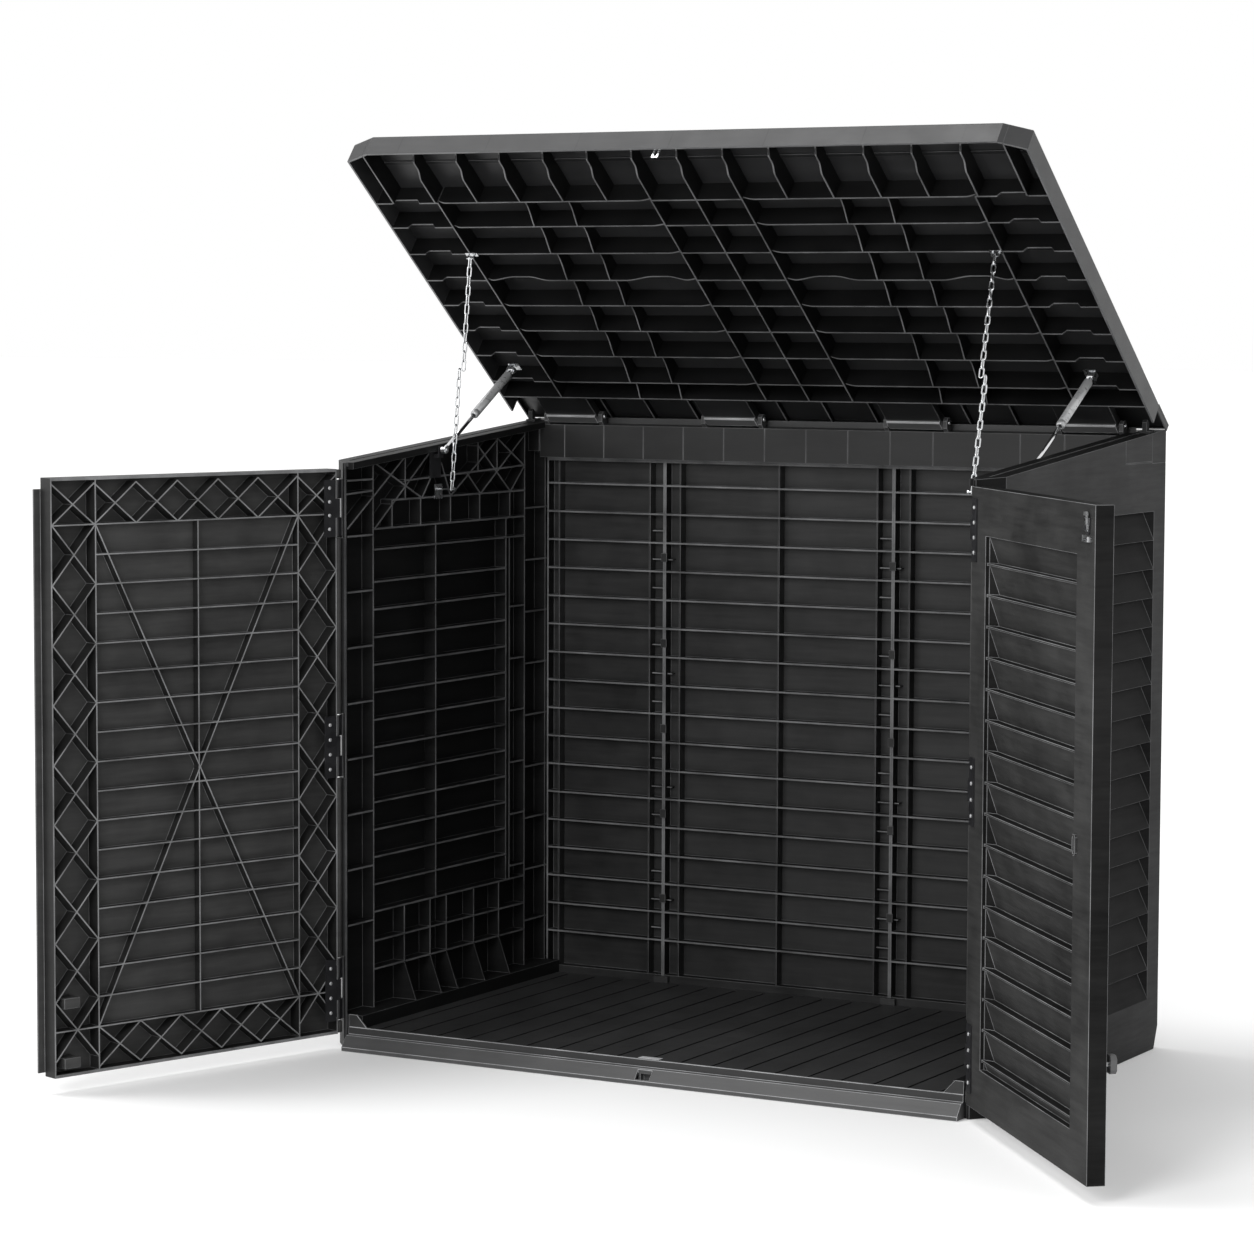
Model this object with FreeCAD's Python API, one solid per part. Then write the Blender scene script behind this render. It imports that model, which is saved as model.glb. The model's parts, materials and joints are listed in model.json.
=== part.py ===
import FreeCAD, Part
import math
import os

# A wheelie bin store: ribbed plastic walls, louvred doors, a lifting lid on gas struts and chains.
# Millimetres. X runs across the front, +Y runs to the rear, +Z is up, origin under the base centre.
# The shape is written as it stands open in use: lid raised, both doors swung out.

# Driving sizes of the body
WIDTH = 1460.0
DEPTH = 870.0
TOP_FRONT = 1181.0
TOP_REAR = 1255.0
FLOOR_TOP = 41.0
SKIN = 4.0
RIB = 4.0
WALL_THICK = 45.0
REAR_THICK = 42.0
WALL_FRONT_BACKSET = 28.0
CHAMFER_X = 40.0
CHAMFER_Y = 46.0
LOUVRE_COUNT = 17
LOUVRE_DEPTH = 14.0
TOP_RAIL = 58.0
TOP_RAIL_DROP = 14.0
RAIL_DEPTH = 73.0
RAIL_BOTTOM = 1172.0
RAIL_TOP_FRONT = 1243.0
RAIL_TOP_REAR = 1254.0
CAP_BOTTOM = 1189.0

# Driving sizes of the lid
LID_WIDTH = 1484.0
LID_REACH = 875.0
LID_GAP_BEHIND = 28.0
LID_BACK = -40.0
LID_WALL = 79.0
LID_RAISED = 20.0
LID_LIP = 24.0
LID_RIM = 46.3
LID_RIB_PLANE = -11.3
LID_HINGE_BACKSET = 70.0
LID_HINGE_Z = 1262.0
LID_OPEN = 38.6
LID_PIN_R = 4.0

# Driving sizes of the doors
DOOR_BOTTOM = 33.0
DOOR_HEIGHT = 1139.0
DOOR_THICK = 33.0
DOOR_MEETING_GAP = 4.0
DOOR_EDGE_X = 690.0
DOOR_FACE_GAP = 2.0
DOOR_PIN_X = 697.0
DOOR_PIN_BACK = 10.0
DOOR_PIN_R = 3.0
DOOR_LEFT_OPEN = 107.5
DOOR_RIGHT_OPEN = 131.1

# Clearances
RUNNING = 0.06
AXIAL = 0.5

# Places that follow from the sizes
HALF = WIDTH / 2
FRONT = -DEPTH / 2
REAR = DEPTH / 2
INNER = HALF - WALL_THICK
WALL_FRONT = FRONT + WALL_FRONT_BACKSET
REAR_INNER = REAR - REAR_THICK
RAIL_FRONT = REAR - RAIL_DEPTH
LID_HINGE_Y = REAR - LID_HINGE_BACKSET
TOP_SLOPE = (TOP_REAR - TOP_FRONT) / DEPTH
DOOR_INNER_Y = WALL_FRONT - DOOR_FACE_GAP
DOOR_PIN_Y = DOOR_INNER_Y - DOOR_PIN_BACK
DOOR_WIDTH = DOOR_EDGE_X - DOOR_MEETING_GAP / 2
LID_TOP = LID_RIB_PLANE + LID_RIM


def vec(x, y, z):
    return FreeCAD.Vector(x, y, z)


def box(x0, x1, y0, y1, z0, z1):
    return Part.makeBox(x1 - x0, y1 - y0, z1 - z0, vec(x0, y0, z0))


def prism(points, direction):
    ring = [vec(*p) for p in points]
    ring.append(ring[0])
    return Part.Face(Part.makePolygon(ring)).extrude(vec(*direction))


def prism_x(points_yz, x0, x1):
    return prism([(x0, y, z) for y, z in points_yz], (x1 - x0, 0, 0))


def prism_y(points_xz, y0, y1):
    return prism([(x, y0, z) for x, z in points_xz], (0, y1 - y0, 0))


def prism_z(points_xy, z0, z1):
    return prism([(x, y, z0) for x, y in points_xy], (0, 0, z1 - z0))


# Straight bars: round pins, flat-sided bars, and the many-sided bore that clears a pin by the running fit

BORE_SIDES = 12


def bar(start, end, radius, sides=8):
    along = end - start
    lean = vec(1, 0, 0) if abs(along.x) < 0.7 * along.Length else vec(0, 1, 0)
    side = along.cross(lean)
    side.normalize()
    other = along.cross(side)
    other.normalize()
    ring = []
    for k in range(sides):
        turn = 2 * math.pi * (k + 0.5) / sides
        p = start + side * (radius * math.cos(turn)) + other * (radius * math.sin(turn))
        ring.append((p.x, p.y, p.z))
    return prism(ring, (along.x, along.y, along.z))


def pin(start, end, radius):
    span = end - start
    return Part.makeCylinder(radius, span.Length, start, span)


def pin_bore(start, end, radius):
    return bar(start, end, (radius + RUNNING / 2) / math.cos(math.pi / BORE_SIDES), BORE_SIDES)


def fuse(shapes):
    if len(shapes) == 1:
        return shapes[0]
    return shapes[0].multiFuse(shapes[1:]).removeSplitter()


def mirror_x(shape):
    return shape.mirror(vec(0, 0, 0), vec(1, 0, 0))


def wall_top(y):
    return TOP_FRONT + TOP_SLOPE * (y - FRONT)


def rail_top(y):
    return RAIL_TOP_FRONT + (RAIL_TOP_REAR - RAIL_TOP_FRONT) * (y - RAIL_FRONT) / RAIL_DEPTH


def steps(first, pitch, count):
    return [first + pitch * k for k in range(count)]


# Places along a side wall are given from the front at the drawn depth and keep their share of it

DRAWN_DEPTH = 870.0


def place(y):
    return FRONT + DEPTH * y / DRAWN_DEPTH


# A straight rib lying in a panel, drawn from one point of the panel to another

def rib_yz(a, b, x0, x1, thick=RIB, overrun=1.0):
    along = vec(0, b[0] - a[0], b[1] - a[1])
    along.normalize()
    side = vec(0, -along.z, along.y) * (thick / 2)
    start = vec(x0, a[0], a[1]) - along * overrun
    end = vec(x0, b[0], b[1]) + along * overrun
    corners = [start - side, end - side, end + side, start + side]
    return prism([(c.x, c.y, c.z) for c in corners], (x1 - x0, 0, 0))


def rib_xz(a, b, y0, y1, thick=RIB, overrun=1.0):
    along = vec(b[0] - a[0], 0, b[1] - a[1])
    along.normalize()
    side = vec(-along.z, 0, along.x) * (thick / 2)
    start = vec(a[0], y0, a[1]) - along * overrun
    end = vec(b[0], y0, b[1]) + along * overrun
    corners = [start - side, end - side, end + side, start + side]
    return prism([(c.x, c.y, c.z) for c in corners], (0, y1 - y0, 0))


# Saw-tooth outline that leaves a stack of sloping boards when it is cut from a face

def louvre_cut(face, bottom, pitch, count, depth):
    points = [(face + depth, bottom)]
    for k in range(count):
        points.append((face, bottom + pitch * k))
        points.append((face - depth, bottom + pitch * (k + 1)))
    points.append((face + depth, bottom + pitch * count))
    return points


# Floor tray with plank grooves on top and open cells below

FLOOR_FRONT = WALL_FRONT + 6.0
PLANK_PITCH = 69.0
GROOVE = 5.0
GROOVE_DEPTH = 2.0


def base_floor():
    slab = box(-INNER, INNER, FLOOR_FRONT, REAR_INNER, 0, FLOOR_TOP)
    columns, rows = 4, 2
    dx = 2 * INNER / columns
    dy = (REAR_INNER - FLOOR_FRONT) / rows
    cells = []
    for i in range(columns):
        for j in range(rows):
            x0 = -INNER + i * dx
            y0 = FLOOR_FRONT + j * dy
            cells.append(box(x0 + 3, x0 + dx - 3, y0 + 3, y0 + dy - 3, -1, FLOOR_TOP - SKIN - GROOVE_DEPTH))
    slab = slab.cut(Part.makeCompound(cells))
    count = int((INNER - 30) / PLANK_PITCH)
    grooves = []
    for k in range(-count, count + 1):
        x = k * PLANK_PITCH
        grooves.append(box(x - GROOVE / 2, x + GROOVE / 2, FLOOR_FRONT + 14, REAR_INNER - 14,
                           FLOOR_TOP - GROOVE_DEPTH, FLOOR_TOP + 1))
    return slab.cut(Part.makeCompound(grooves))


# Front sill: sloping apron, upright lip with raised ends and the slot for the drop bolt

SILL_HALF = INNER - 7.0
LIP_TOP = FLOOR_TOP + 4.0
LIP_END_RISE = 25.0
HINGE_LEAF = 3.0
BOLT_X = 20.0
BOLT_Y = DOOR_INNER_Y - 17.0
SLOT_X = (-3.0, 28.0)


def front_sill():
    lip_front = WALL_FRONT - 0.4
    outline = [(FRONT, 0), (FRONT, 8), (FRONT + 18, 29.5), (lip_front - 0.6, 31), (lip_front, LIP_TOP),
               (FLOOR_FRONT, LIP_TOP), (FLOOR_FRONT, 0)]
    body = prism_x(outline, -SILL_HALF, SILL_HALF)
    hollow = [(FRONT + SKIN, -1), (FRONT + SKIN, 4), (FRONT + 20, 24.5), (FLOOR_FRONT - SKIN, 26),
              (FLOOR_FRONT - SKIN, -1)]
    bays = 4
    width = 2 * SILL_HALF / bays
    pockets = [prism_x(hollow, -SILL_HALF + k * width + 2, -SILL_HALF + (k + 1) * width - 2)
               for k in range(bays)]
    body = body.cut(Part.makeCompound(pockets))
    ends = []
    for side in (-1, 1):
        rise = [(side * SILL_HALF, LIP_TOP - 2), (side * SILL_HALF, LIP_TOP + LIP_END_RISE),
                (side * (SILL_HALF - 18), LIP_TOP + LIP_END_RISE), (side * (SILL_HALF - 42), LIP_TOP),
                (side * (SILL_HALF - 42), LIP_TOP - 2)]
        ends.append(prism_y(rise, DOOR_INNER_Y + HINGE_LEAF + 0.6, FLOOR_FRONT))
    body = fuse([body] + ends)
    slot = box(SLOT_X[0], SLOT_X[1], BOLT_Y - 7, BOLT_Y + 7, -1, 40)
    return body.cut(slot)


def bolt_keeper():
    centre = (SLOT_X[0] + SLOT_X[1]) / 2
    plate = box(centre - 23, centre + 23, WALL_FRONT - 0.4, FLOOR_FRONT + 12, LIP_TOP, LIP_TOP + 2.5)
    foot = box(centre - 23, centre + 23, FLOOR_FRONT, FLOOR_FRONT + 12, FLOOR_TOP, LIP_TOP + 1)
    return fuse([plate, foot])


def floor_clips():
    tabs = []
    for x in SEAMS:
        tabs.append(box(x - 17, x + 17, REAR_INNER - 10, REAR_INNER, FLOOR_TOP, FLOOR_TOP + 14))
    return tabs


# Side wall, drawn on the right and mirrored for the left

LOUVRE_BOTTOM = 110.0
LOUVRE_TOP = TOP_FRONT - 88.0
LOUVRE_FRONT_Y = FRONT + 135.0
LOUVRE_REAR_Y = REAR - 60.0
SKIN_INNER = HALF - LOUVRE_DEPTH - SKIN
FOOT_REACH = 33.0
FOOT_TOP = 68.0
LINE_FRONT = place(133.0)
LINE_SLAT_END = place(655.0)
LINE_COLUMN = place(733.0)
LINE_REAR = place(821.0)
SLAT_FIRST = 264.0
SLAT_LAST = TOP_FRONT - 242.6
SLAT_LINES = 13
ROW_LOW = TOP_FRONT - 135.0
ROW_MID = TOP_FRONT - 79.0
ROW_HIGH = TOP_FRONT - 33.0


def wall_lines():
    pitch = (SLAT_LAST - SLAT_FIRST) / (SLAT_LINES - 1)
    lines = [((LINE_SLAT_END, SLAT_FIRST), (LINE_SLAT_END, ROW_LOW)),
             ((LINE_FRONT, FOOT_TOP), (LINE_FRONT, wall_top(LINE_FRONT) - 6)),
             ((LINE_COLUMN, FOOT_TOP), (LINE_COLUMN, wall_top(LINE_COLUMN) - 6)),
             ((LINE_REAR, FOOT_TOP), (LINE_REAR, CAP_BOTTOM - 8))]
    lines += [((LINE_FRONT, z), (LINE_SLAT_END, z)) for z in steps(SLAT_FIRST + pitch, pitch, SLAT_LINES - 1)]
    lines += [((LINE_FRONT, z), (LINE_COLUMN, z)) for z in (SLAT_FIRST, ROW_LOW - 42, ROW_LOW)]
    return lines


def wall_lattice():
    roof = 8.0
    lines = [((place(208), ROW_MID), (LINE_COLUMN, ROW_MID)),
             ((place(252), ROW_HIGH - 8), (LINE_COLUMN, ROW_HIGH + 8)),
             ((WALL_FRONT + 5, ROW_MID + 18), (LINE_FRONT, ROW_MID + 22))]
    for y in (204, 313, 430, 547, 671):
        lines.append(((place(y), ROW_LOW), (place(y), ROW_MID)))
    for y, z in ((254, ROW_MID), (540, ROW_HIGH + 4), (618, ROW_HIGH + 6)):
        lines.append(((place(y), z), (place(y), wall_top(place(y)) - roof)))
    rising = (((39, ROW_LOW + 5), (252, ROW_HIGH + 40)), ((138, ROW_LOW), (344, ROW_HIGH + 44)),
              ((318, ROW_MID), (400, ROW_HIGH + 50)), ((430, ROW_MID), (622, ROW_HIGH + 68)),
              ((550, ROW_MID), (733, ROW_HIGH + 74)), ((673, ROW_MID), (733, ROW_HIGH + 8)))
    falling = (((138, ROW_HIGH + 32), (318, ROW_MID)), ((394, ROW_HIGH + 24), (430, ROW_MID)),
               ((494, ROW_HIGH), (550, ROW_MID)), ((540, ROW_HIGH + 56), (673, ROW_MID)),
               ((625, ROW_HIGH + 66), (733, ROW_HIGH + 6)))
    for a, b in rising + falling:
        lines.append(((place(a[0]), a[1]), (place(b[0]), b[1])))
    return lines


GRID_ROWS = (SLAT_FIRST - 60.0, SLAT_FIRST - 118.0)
GRID_COLUMNS = (249.0, 349.0, 413.0, 523.0, 626.0)


def wall_grid():
    lines = [((LINE_FRONT, z), (LINE_COLUMN, z)) for z in GRID_ROWS]
    for y in GRID_COLUMNS:
        lines.append(((place(y), GRID_ROWS[1]), (place(y), SLAT_FIRST)))
    return lines


def wall_gussets():
    x_in = INNER - FOOT_REACH + 4
    outline = [(SKIN_INNER, FOOT_TOP - 1), (x_in, FOOT_TOP - 1), (INNER, GRID_ROWS[1]), (SKIN_INNER, GRID_ROWS[1])]
    return [prism_y(outline, place(y) - 2, place(y) + 2) for y in GRID_COLUMNS]


def sloping_band(x0, x1, y0, y1, drop0, drop1):
    ring = [(y0, wall_top(y0) - drop0), (y1, wall_top(y1) - drop0),
            (y1, wall_top(y1) - drop1), (y0, wall_top(y0) - drop1)]
    return prism_x(ring, x0, x1)


def side_wall():
    plan = [(INNER, WALL_FRONT), (INNER + 5, WALL_FRONT), (HALF, WALL_FRONT + CHAMFER_Y),
            (HALF, REAR), (INNER, REAR)]
    body = prism_z(plan, 0, TOP_REAR + 40)
    above = sloping_band(INNER - 10, HALF + 10, FRONT - 10, REAR + 10, -200, 0)
    corner = prism_x([(REAR - 20, -1), (REAR + 1, -1), (REAR + 1, 48)], HALF - SKIN * 2, HALF + 1)
    cap_place = box(INNER - 1, HALF + 1, RAIL_FRONT, REAR + 1, CAP_BOTTOM, TOP_REAR + 60)
    body = body.cut(above).cut(cap_place).cut(corner)
    inside_front = WALL_FRONT + 6
    pocket_plan = [(INNER - 1, inside_front), (INNER + 5, inside_front),
                   (SKIN_INNER, inside_front + (SKIN_INNER - INNER - 5) * CHAMFER_Y / CHAMFER_X),
                   (SKIN_INNER, REAR - SKIN), (INNER - 1, REAR - SKIN)]
    pocket = prism_z(pocket_plan, FOOT_TOP, TOP_REAR + 50)
    pocket = pocket.cut(sloping_band(INNER - 10, HALF + 10, FRONT - 10, REAR + 10, -150, SKIN * 2))
    pocket = pocket.cut(box(INNER - 2, HALF, RAIL_FRONT - SKIN, REAR, CAP_BOTTOM - SKIN, TOP_REAR + 60))
    under = box(INNER + SKIN, HALF - SKIN * 2, WALL_FRONT + 50, REAR - 24, -1, FOOT_TOP - SKIN)
    body = body.cut(pocket).cut(under)
    pitch = (LOUVRE_TOP - LOUVRE_BOTTOM) / LOUVRE_COUNT
    teeth = prism_y(louvre_cut(HALF, LOUVRE_BOTTOM, pitch, LOUVRE_COUNT, LOUVRE_DEPTH),
                    LOUVRE_FRONT_Y, LOUVRE_REAR_Y)
    body = body.cut(teeth)
    ends = []
    slope = 27.0 / LOUVRE_DEPTH
    deep = LOUVRE_DEPTH + 1
    for y, away in ((LOUVRE_FRONT_Y, 1), (LOUVRE_REAR_Y, -1)):
        ends.append(prism_z([(HALF, y), (HALF - deep, y), (HALF - deep, y + away * slope * deep)],
                            LOUVRE_BOTTOM, LOUVRE_TOP))
    body = fuse([body] + ends)
    step_y = LINE_SLAT_END
    seams = [box(HALF - 1.2, HALF + 1, step_y, RAIL_FRONT, CAP_BOTTOM + 2, CAP_BOTTOM + 4),
             box(HALF - 1.2, HALF + 1, step_y, step_y + 2, CAP_BOTTOM + 2, TOP_REAR + 10)]
    body = body.cut(Part.makeCompound(seams))
    ribs = [rib_yz(a, b, INNER, SKIN_INNER + 1) for a, b in wall_lines() + wall_lattice() + wall_grid()]
    foot = box(INNER - FOOT_REACH, INNER + 2, WALL_FRONT + 10, REAR_INNER, FLOOR_TOP, FOOT_TOP)
    foot = foot.cut(box(INNER - FOOT_REACH + SKIN, INNER + 3, WALL_FRONT + 14, REAR_INNER - 4,
                        FLOOR_TOP - 1, FOOT_TOP - SKIN))
    rail = sloping_band(HALF - TOP_RAIL, HALF - 2, WALL_FRONT + 12, RAIL_FRONT, 0, TOP_RAIL_DROP)
    rail = rail.cut(prism_z([(HALF - 20, WALL_FRONT), (HALF + 5, WALL_FRONT), (HALF + 5, WALL_FRONT + 50)],
                            TOP_FRONT - 60, TOP_FRONT + 60))
    body = fuse([body, foot, rail] + ribs + wall_gussets())
    groove = sloping_band(HALF - 33, HALF - 27, WALL_FRONT + 40, RAIL_FRONT - 4, -20, 3)
    reach = HALF + 10 - INNER - 5
    outside = prism_z([(INNER + 5, WALL_FRONT), (HALF + 10, WALL_FRONT),
                       (HALF + 10, WALL_FRONT + reach * CHAMFER_Y / CHAMFER_X)], -1, TOP_REAR + 60)
    return body.cut(groove).cut(outside).cut(cap_place)


def rear_cap():
    ring = [(RAIL_FRONT, CAP_BOTTOM), (RAIL_FRONT, wall_top(RAIL_FRONT)), (REAR, wall_top(REAR)),
            (REAR, CAP_BOTTOM)]
    cap = prism_x(ring, INNER, HALF)
    hollow = [(RAIL_FRONT + SKIN, CAP_BOTTOM - 1), (RAIL_FRONT + SKIN, wall_top(RAIL_FRONT) - SKIN),
              (REAR - SKIN, wall_top(REAR) - SKIN), (REAR - SKIN, CAP_BOTTOM - 1)]
    return cap.cut(prism_x(hollow, INNER + SKIN, HALF - SKIN))


# Rear wall in three boards, joined at two clip columns

SEAMS = (-393.0, 148.0)
REAR_FIRST = 132.0
REAR_LAST = RAIL_BOTTOM - 57.0
REAR_PITCH = (REAR_LAST - REAR_FIRST) / 16
REAR_SKIN_Y = REAR - LOUVRE_DEPTH - SKIN


def rear_panel(x0, x1):
    body = box(x0, x1, REAR_INNER, REAR, 0, RAIL_BOTTOM)
    pocket = box(x0 + RIB, x1 - RIB, REAR_INNER - 1, REAR_SKIN_Y, FLOOR_TOP + 16, RAIL_BOTTOM - 8)
    teeth = louvre_cut(REAR, REAR_FIRST - REAR_PITCH, REAR_PITCH, 17, LOUVRE_DEPTH)
    cut = prism([(x0 + 20, y, z) for y, z in teeth], (x1 - x0 - 40, 0, 0))
    body = body.cut(pocket).cut(cut)
    ribs = [rib_xz((x0 + 2, z), (x1 - 2, z), REAR_INNER, REAR_SKIN_Y + 1) for z in steps(REAR_FIRST, REAR_PITCH, 17)]
    return fuse([body] + ribs)


def panel_clips():
    clips = []
    for x in SEAMS:
        for k in range(5):
            z = REAR_FIRST + REAR_PITCH * (1.5 + 3 * k)
            clips.append(box(x - RIB - 3, x + RIB + 3, REAR_INNER - 3, REAR_INNER, z - 9, z + 9))
    return clips


def rear_rail():
    ring = [(RAIL_FRONT, RAIL_BOTTOM), (RAIL_FRONT, RAIL_TOP_FRONT), (REAR, RAIL_TOP_REAR), (REAR, RAIL_BOTTOM)]
    body = prism_x(ring, -INNER, INNER)
    hollow = [(RAIL_FRONT + SKIN, RAIL_BOTTOM - 1), (RAIL_FRONT + SKIN, RAIL_TOP_FRONT - SKIN),
              (REAR - SKIN, RAIL_TOP_REAR - SKIN), (REAR - SKIN, RAIL_BOTTOM - 1)]
    bays = 4
    width = 2 * INNER / bays
    pockets = [prism_x(hollow, -INNER + k * width + 2, -INNER + (k + 1) * width - 2) for k in range(bays)]
    seams = [box(x - 0.8, x + 0.8, RAIL_FRONT - 1, RAIL_FRONT + 1.2, RAIL_BOTTOM - 1, RAIL_TOP_FRONT + 1)
             for x in steps(-623.0, 97.0, 14)]
    return body.cut(Part.makeCompound(pockets)).cut(Part.makeCompound(seams))


# Lid hinge: barrels on the lid, lugs and pins on the rear rail

HINGE_WIDE = 123.0
HINGE_CENTRES = (-598.0, -213.0, 213.0, 598.0)
LUG = 10.0
LUG_R = 11.0
BARREL_R = 13.0


def lid_lug(x0, x1):
    y0 = LID_HINGE_Y - LUG_R
    y1 = LID_HINGE_Y + LUG_R
    top = LID_HINGE_Z + LUG_R
    ring = [(RAIL_FRONT, rail_top(RAIL_FRONT)), (y1, rail_top(y1)), (y1, top - 7), (y1 - 6, top),
            (y0 + 6, top), (y0, top - 7), (y0, rail_top(RAIL_FRONT) + 8)]
    return prism_x(ring, x0, x1)


def lid_lugs():
    lugs = []
    for x in HINGE_CENTRES:
        out = HINGE_WIDE / 2 + AXIAL
        lugs.append(lid_lug(x - out - LUG, x - out))
        lugs.append(lid_lug(x + out, x + out + LUG))
    return lugs


def lid_pins():
    out = HINGE_WIDE / 2 + AXIAL
    return [pin(vec(x - out, LID_HINGE_Y, LID_HINGE_Z), vec(x + out, LID_HINGE_Y, LID_HINGE_Z), LID_PIN_R)
            for x in HINGE_CENTRES]


def lid_post():
    y0, y1 = RAIL_FRONT + 2, RAIL_FRONT + 16
    ring = [(y0, wall_top(y0)), (y1, wall_top(y1)), (y1, LID_HINGE_Z + 8), (y0 + 5, LID_HINGE_Z + 14),
            (y0, LID_HINGE_Z + 8)]
    foot = [(y0, wall_top(y0)), (y1 + 14, wall_top(y1 + 14)), (y1 + 14, wall_top(y1 + 14) + 4), (y0, wall_top(y0) + 4)]
    return fuse([prism_x(ring, HALF - 24, HALF - 14), prism_x(foot, HALF - 30, HALF - 8)])


# The lid is drawn flat, its hinge axis on the X axis and its front towards -Y, then tipped open

LATERALS = tuple(LID_GAP_BEHIND + (LID_REACH - LID_GAP_BEHIND) * f
                 for f in (0.125, 0.230, 0.331, 0.430, 0.527, 0.628, 0.728, 0.818))
WIDE_LINE = 592.0
NARROW_LINE = 100.0
FRONT_CELL = 99.6
LID_CORNER_X = 54.0
LID_CORNER_S = 22.0
STRUT_S = 188.0
STRUT_T = -23.0
STRUT_X = 662.0


def lid_box(x0, x1, s0, s1, t0, t1):
    return box(x0, x1, -s1, -s0, t0, t1)


def tip(shape):
    turned = shape.copy()
    turned.rotate(vec(0, 0, 0), vec(1, 0, 0), -LID_OPEN)
    turned.translate(vec(0, LID_HINGE_Y, LID_HINGE_Z))
    return turned


def lid_point(x, s, t, open_angle=LID_OPEN):
    a = math.radians(open_angle)
    return vec(x, LID_HINGE_Y - s * math.cos(a) + t * math.sin(a), LID_HINGE_Z + s * math.sin(a) + t * math.cos(a))


def lid_panel():
    w = LID_WIDTH / 2
    ring = [(-w, -LID_BACK), (-w, -LID_REACH + LID_CORNER_S), (-w + LID_CORNER_X, -LID_REACH),
            (w - LID_CORNER_X, -LID_REACH), (w, -LID_REACH + LID_CORNER_S), (w, -LID_BACK)]
    body = prism_z(ring, LID_RIB_PLANE, LID_TOP)
    low = LID_RIB_PLANE - 1
    body = body.cut(lid_box(-w - 1, w + 1, LID_BACK - 1, LID_GAP_BEHIND, low, LID_RAISED))
    body = body.cut(lid_box(-w - 1, w + 1, LID_BACK - 1, LID_BACK + SKIN, low, LID_LIP))
    body = body.cut(lid_box(-w + SKIN, w - SKIN, LID_GAP_BEHIND - 1, LID_WALL - SKIN / 2, low, LID_RAISED))
    ceiling = LID_TOP - SKIN
    rows = [LID_WALL] + list(LATERALS)
    columns = [-w + 2, -WIDE_LINE, -NARROW_LINE, 0.0, NARROW_LINE, WIDE_LINE, w - 2]
    cells = []
    for s0, s1 in zip(rows[:-1], rows[1:]):
        for x0, x1 in zip(columns[:-1], columns[1:]):
            parts = [(s0, s1)]
            outer = abs(x0 + x1) > 2 * WIDE_LINE
            if outer and s0 < STRUT_S < s1:
                parts = [(s0, STRUT_S), (STRUT_S, s1)]
            for a, b in parts:
                cells.append(lid_box(x0 + 2, x1 - 2, a + 2, b - 2, LID_RIB_PLANE - 1, ceiling))
    bays = 14
    width = (2 * w - SKIN) / bays
    for x0 in steps(-w + SKIN / 2, width, bays):
        cells.append(lid_box(x0 + 2, x0 + width - 2, LID_BACK + SKIN, LID_WALL - SKIN / 2, LID_RAISED - 1, ceiling))
    s0 = LATERALS[-1] + 2
    s1 = LID_REACH - SKIN
    for k in range(-7, 7):
        cells.append(lid_box(k * FRONT_CELL + 2, (k + 1) * FRONT_CELL - 2, s0, s1, LID_RIB_PLANE - 1, ceiling))
    edge = 7 * FRONT_CELL + 2
    for side in (-1, 1):
        corner = [(side * edge, -s0), (side * (w - SKIN), -s0), (side * (w - SKIN), -(s1 - LID_CORNER_S)),
                  (side * edge, -(s1 - LID_CORNER_S * 0.3))]
        cells.append(prism_z(corner, LID_RIB_PLANE - 1, ceiling))
    body = body.cut(Part.makeCompound(cells))
    grooves = [lid_box(x - 3, x + 3, LID_GAP_BEHIND + 40, LID_REACH - 40, LID_TOP - 1.5, LID_TOP + 1)
               for x in steps(-3 * 216.0, 216.0, 7)]
    return tip(body.cut(Part.makeCompound(grooves)))


def lid_barrels():
    out = []
    for x in HINGE_CENTRES:
        x0, x1 = x - HINGE_WIDE / 2, x + HINGE_WIDE / 2
        shell = bar(vec(x0, 0, 0), vec(x1, 0, 0), BARREL_R, 12)
        web = lid_box(x0, x1, 3, LID_WALL - SKIN / 2, -9, 9)
        bore = pin_bore(vec(x0 - 1, 0, 0), vec(x1 + 1, 0, 0), LID_PIN_R)
        out.append(tip(fuse([shell, web]).cut(bore)))
    return out


def lid_catch():
    x, s = -26.0, LID_REACH - SKIN - 6
    plate = lid_box(x - 9, x + 9, LID_REACH - SKIN - 2, LID_REACH - SKIN, LID_RIB_PLANE + 1, LID_RIB_PLANE + 26)
    loop = lid_box(x - 6.8, x + 6.8, s - 1.8, s + 1.8, LID_RIB_PLANE - 15.8, LID_RIB_PLANE + 10)
    hole = lid_box(x - 3.2, x + 3.2, s - 3, s + 3, LID_RIB_PLANE - 12.2, LID_RIB_PLANE + 4)
    seat = lid_box(x - 6.8, x + 6.8, s + 1, LID_REACH - SKIN - 1, LID_RIB_PLANE + 4, LID_RIB_PLANE + 10)
    return tip(fuse([plate, loop.cut(hole), seat]))


# Chains: an eye under the lid, a stud on each wall, and two straight runs of links that meet side by side

LINK_WIRE = 3.0
LINK_LAP = LINK_WIRE
END_LAP = LINK_WIRE + 1.0
LINK_STEP = 19.4
LINK_WIDE = 11.5
MIDDLE_SHIFT = 4.6
EYE_S = LATERALS[5]
EYE_T = -21.6
EYE_X = {"left": -588.0, "right": 581.0}
STUD_AT = {"left": vec(-(INNER - 34.4), place(378.3), TOP_FRONT - 62.6),
           "right": vec(INNER - 25.2, place(78.8), TOP_FRONT - 23.6)}
STUD_R = 1.6


def chain_ends(side):
    eye = lid_point(EYE_X[side], EYE_S, EYE_T)
    stud = STUD_AT[side]
    run = stud - eye
    reach = run.Length + END_LAP
    run.normalize()
    count = 2 * int(reach / LINK_STEP / 2) + 1
    step = reach / count
    upper = 2 * int((count + 1) / 4)
    return eye, eye + run * (step * upper), stud, step, upper, count - upper


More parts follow.
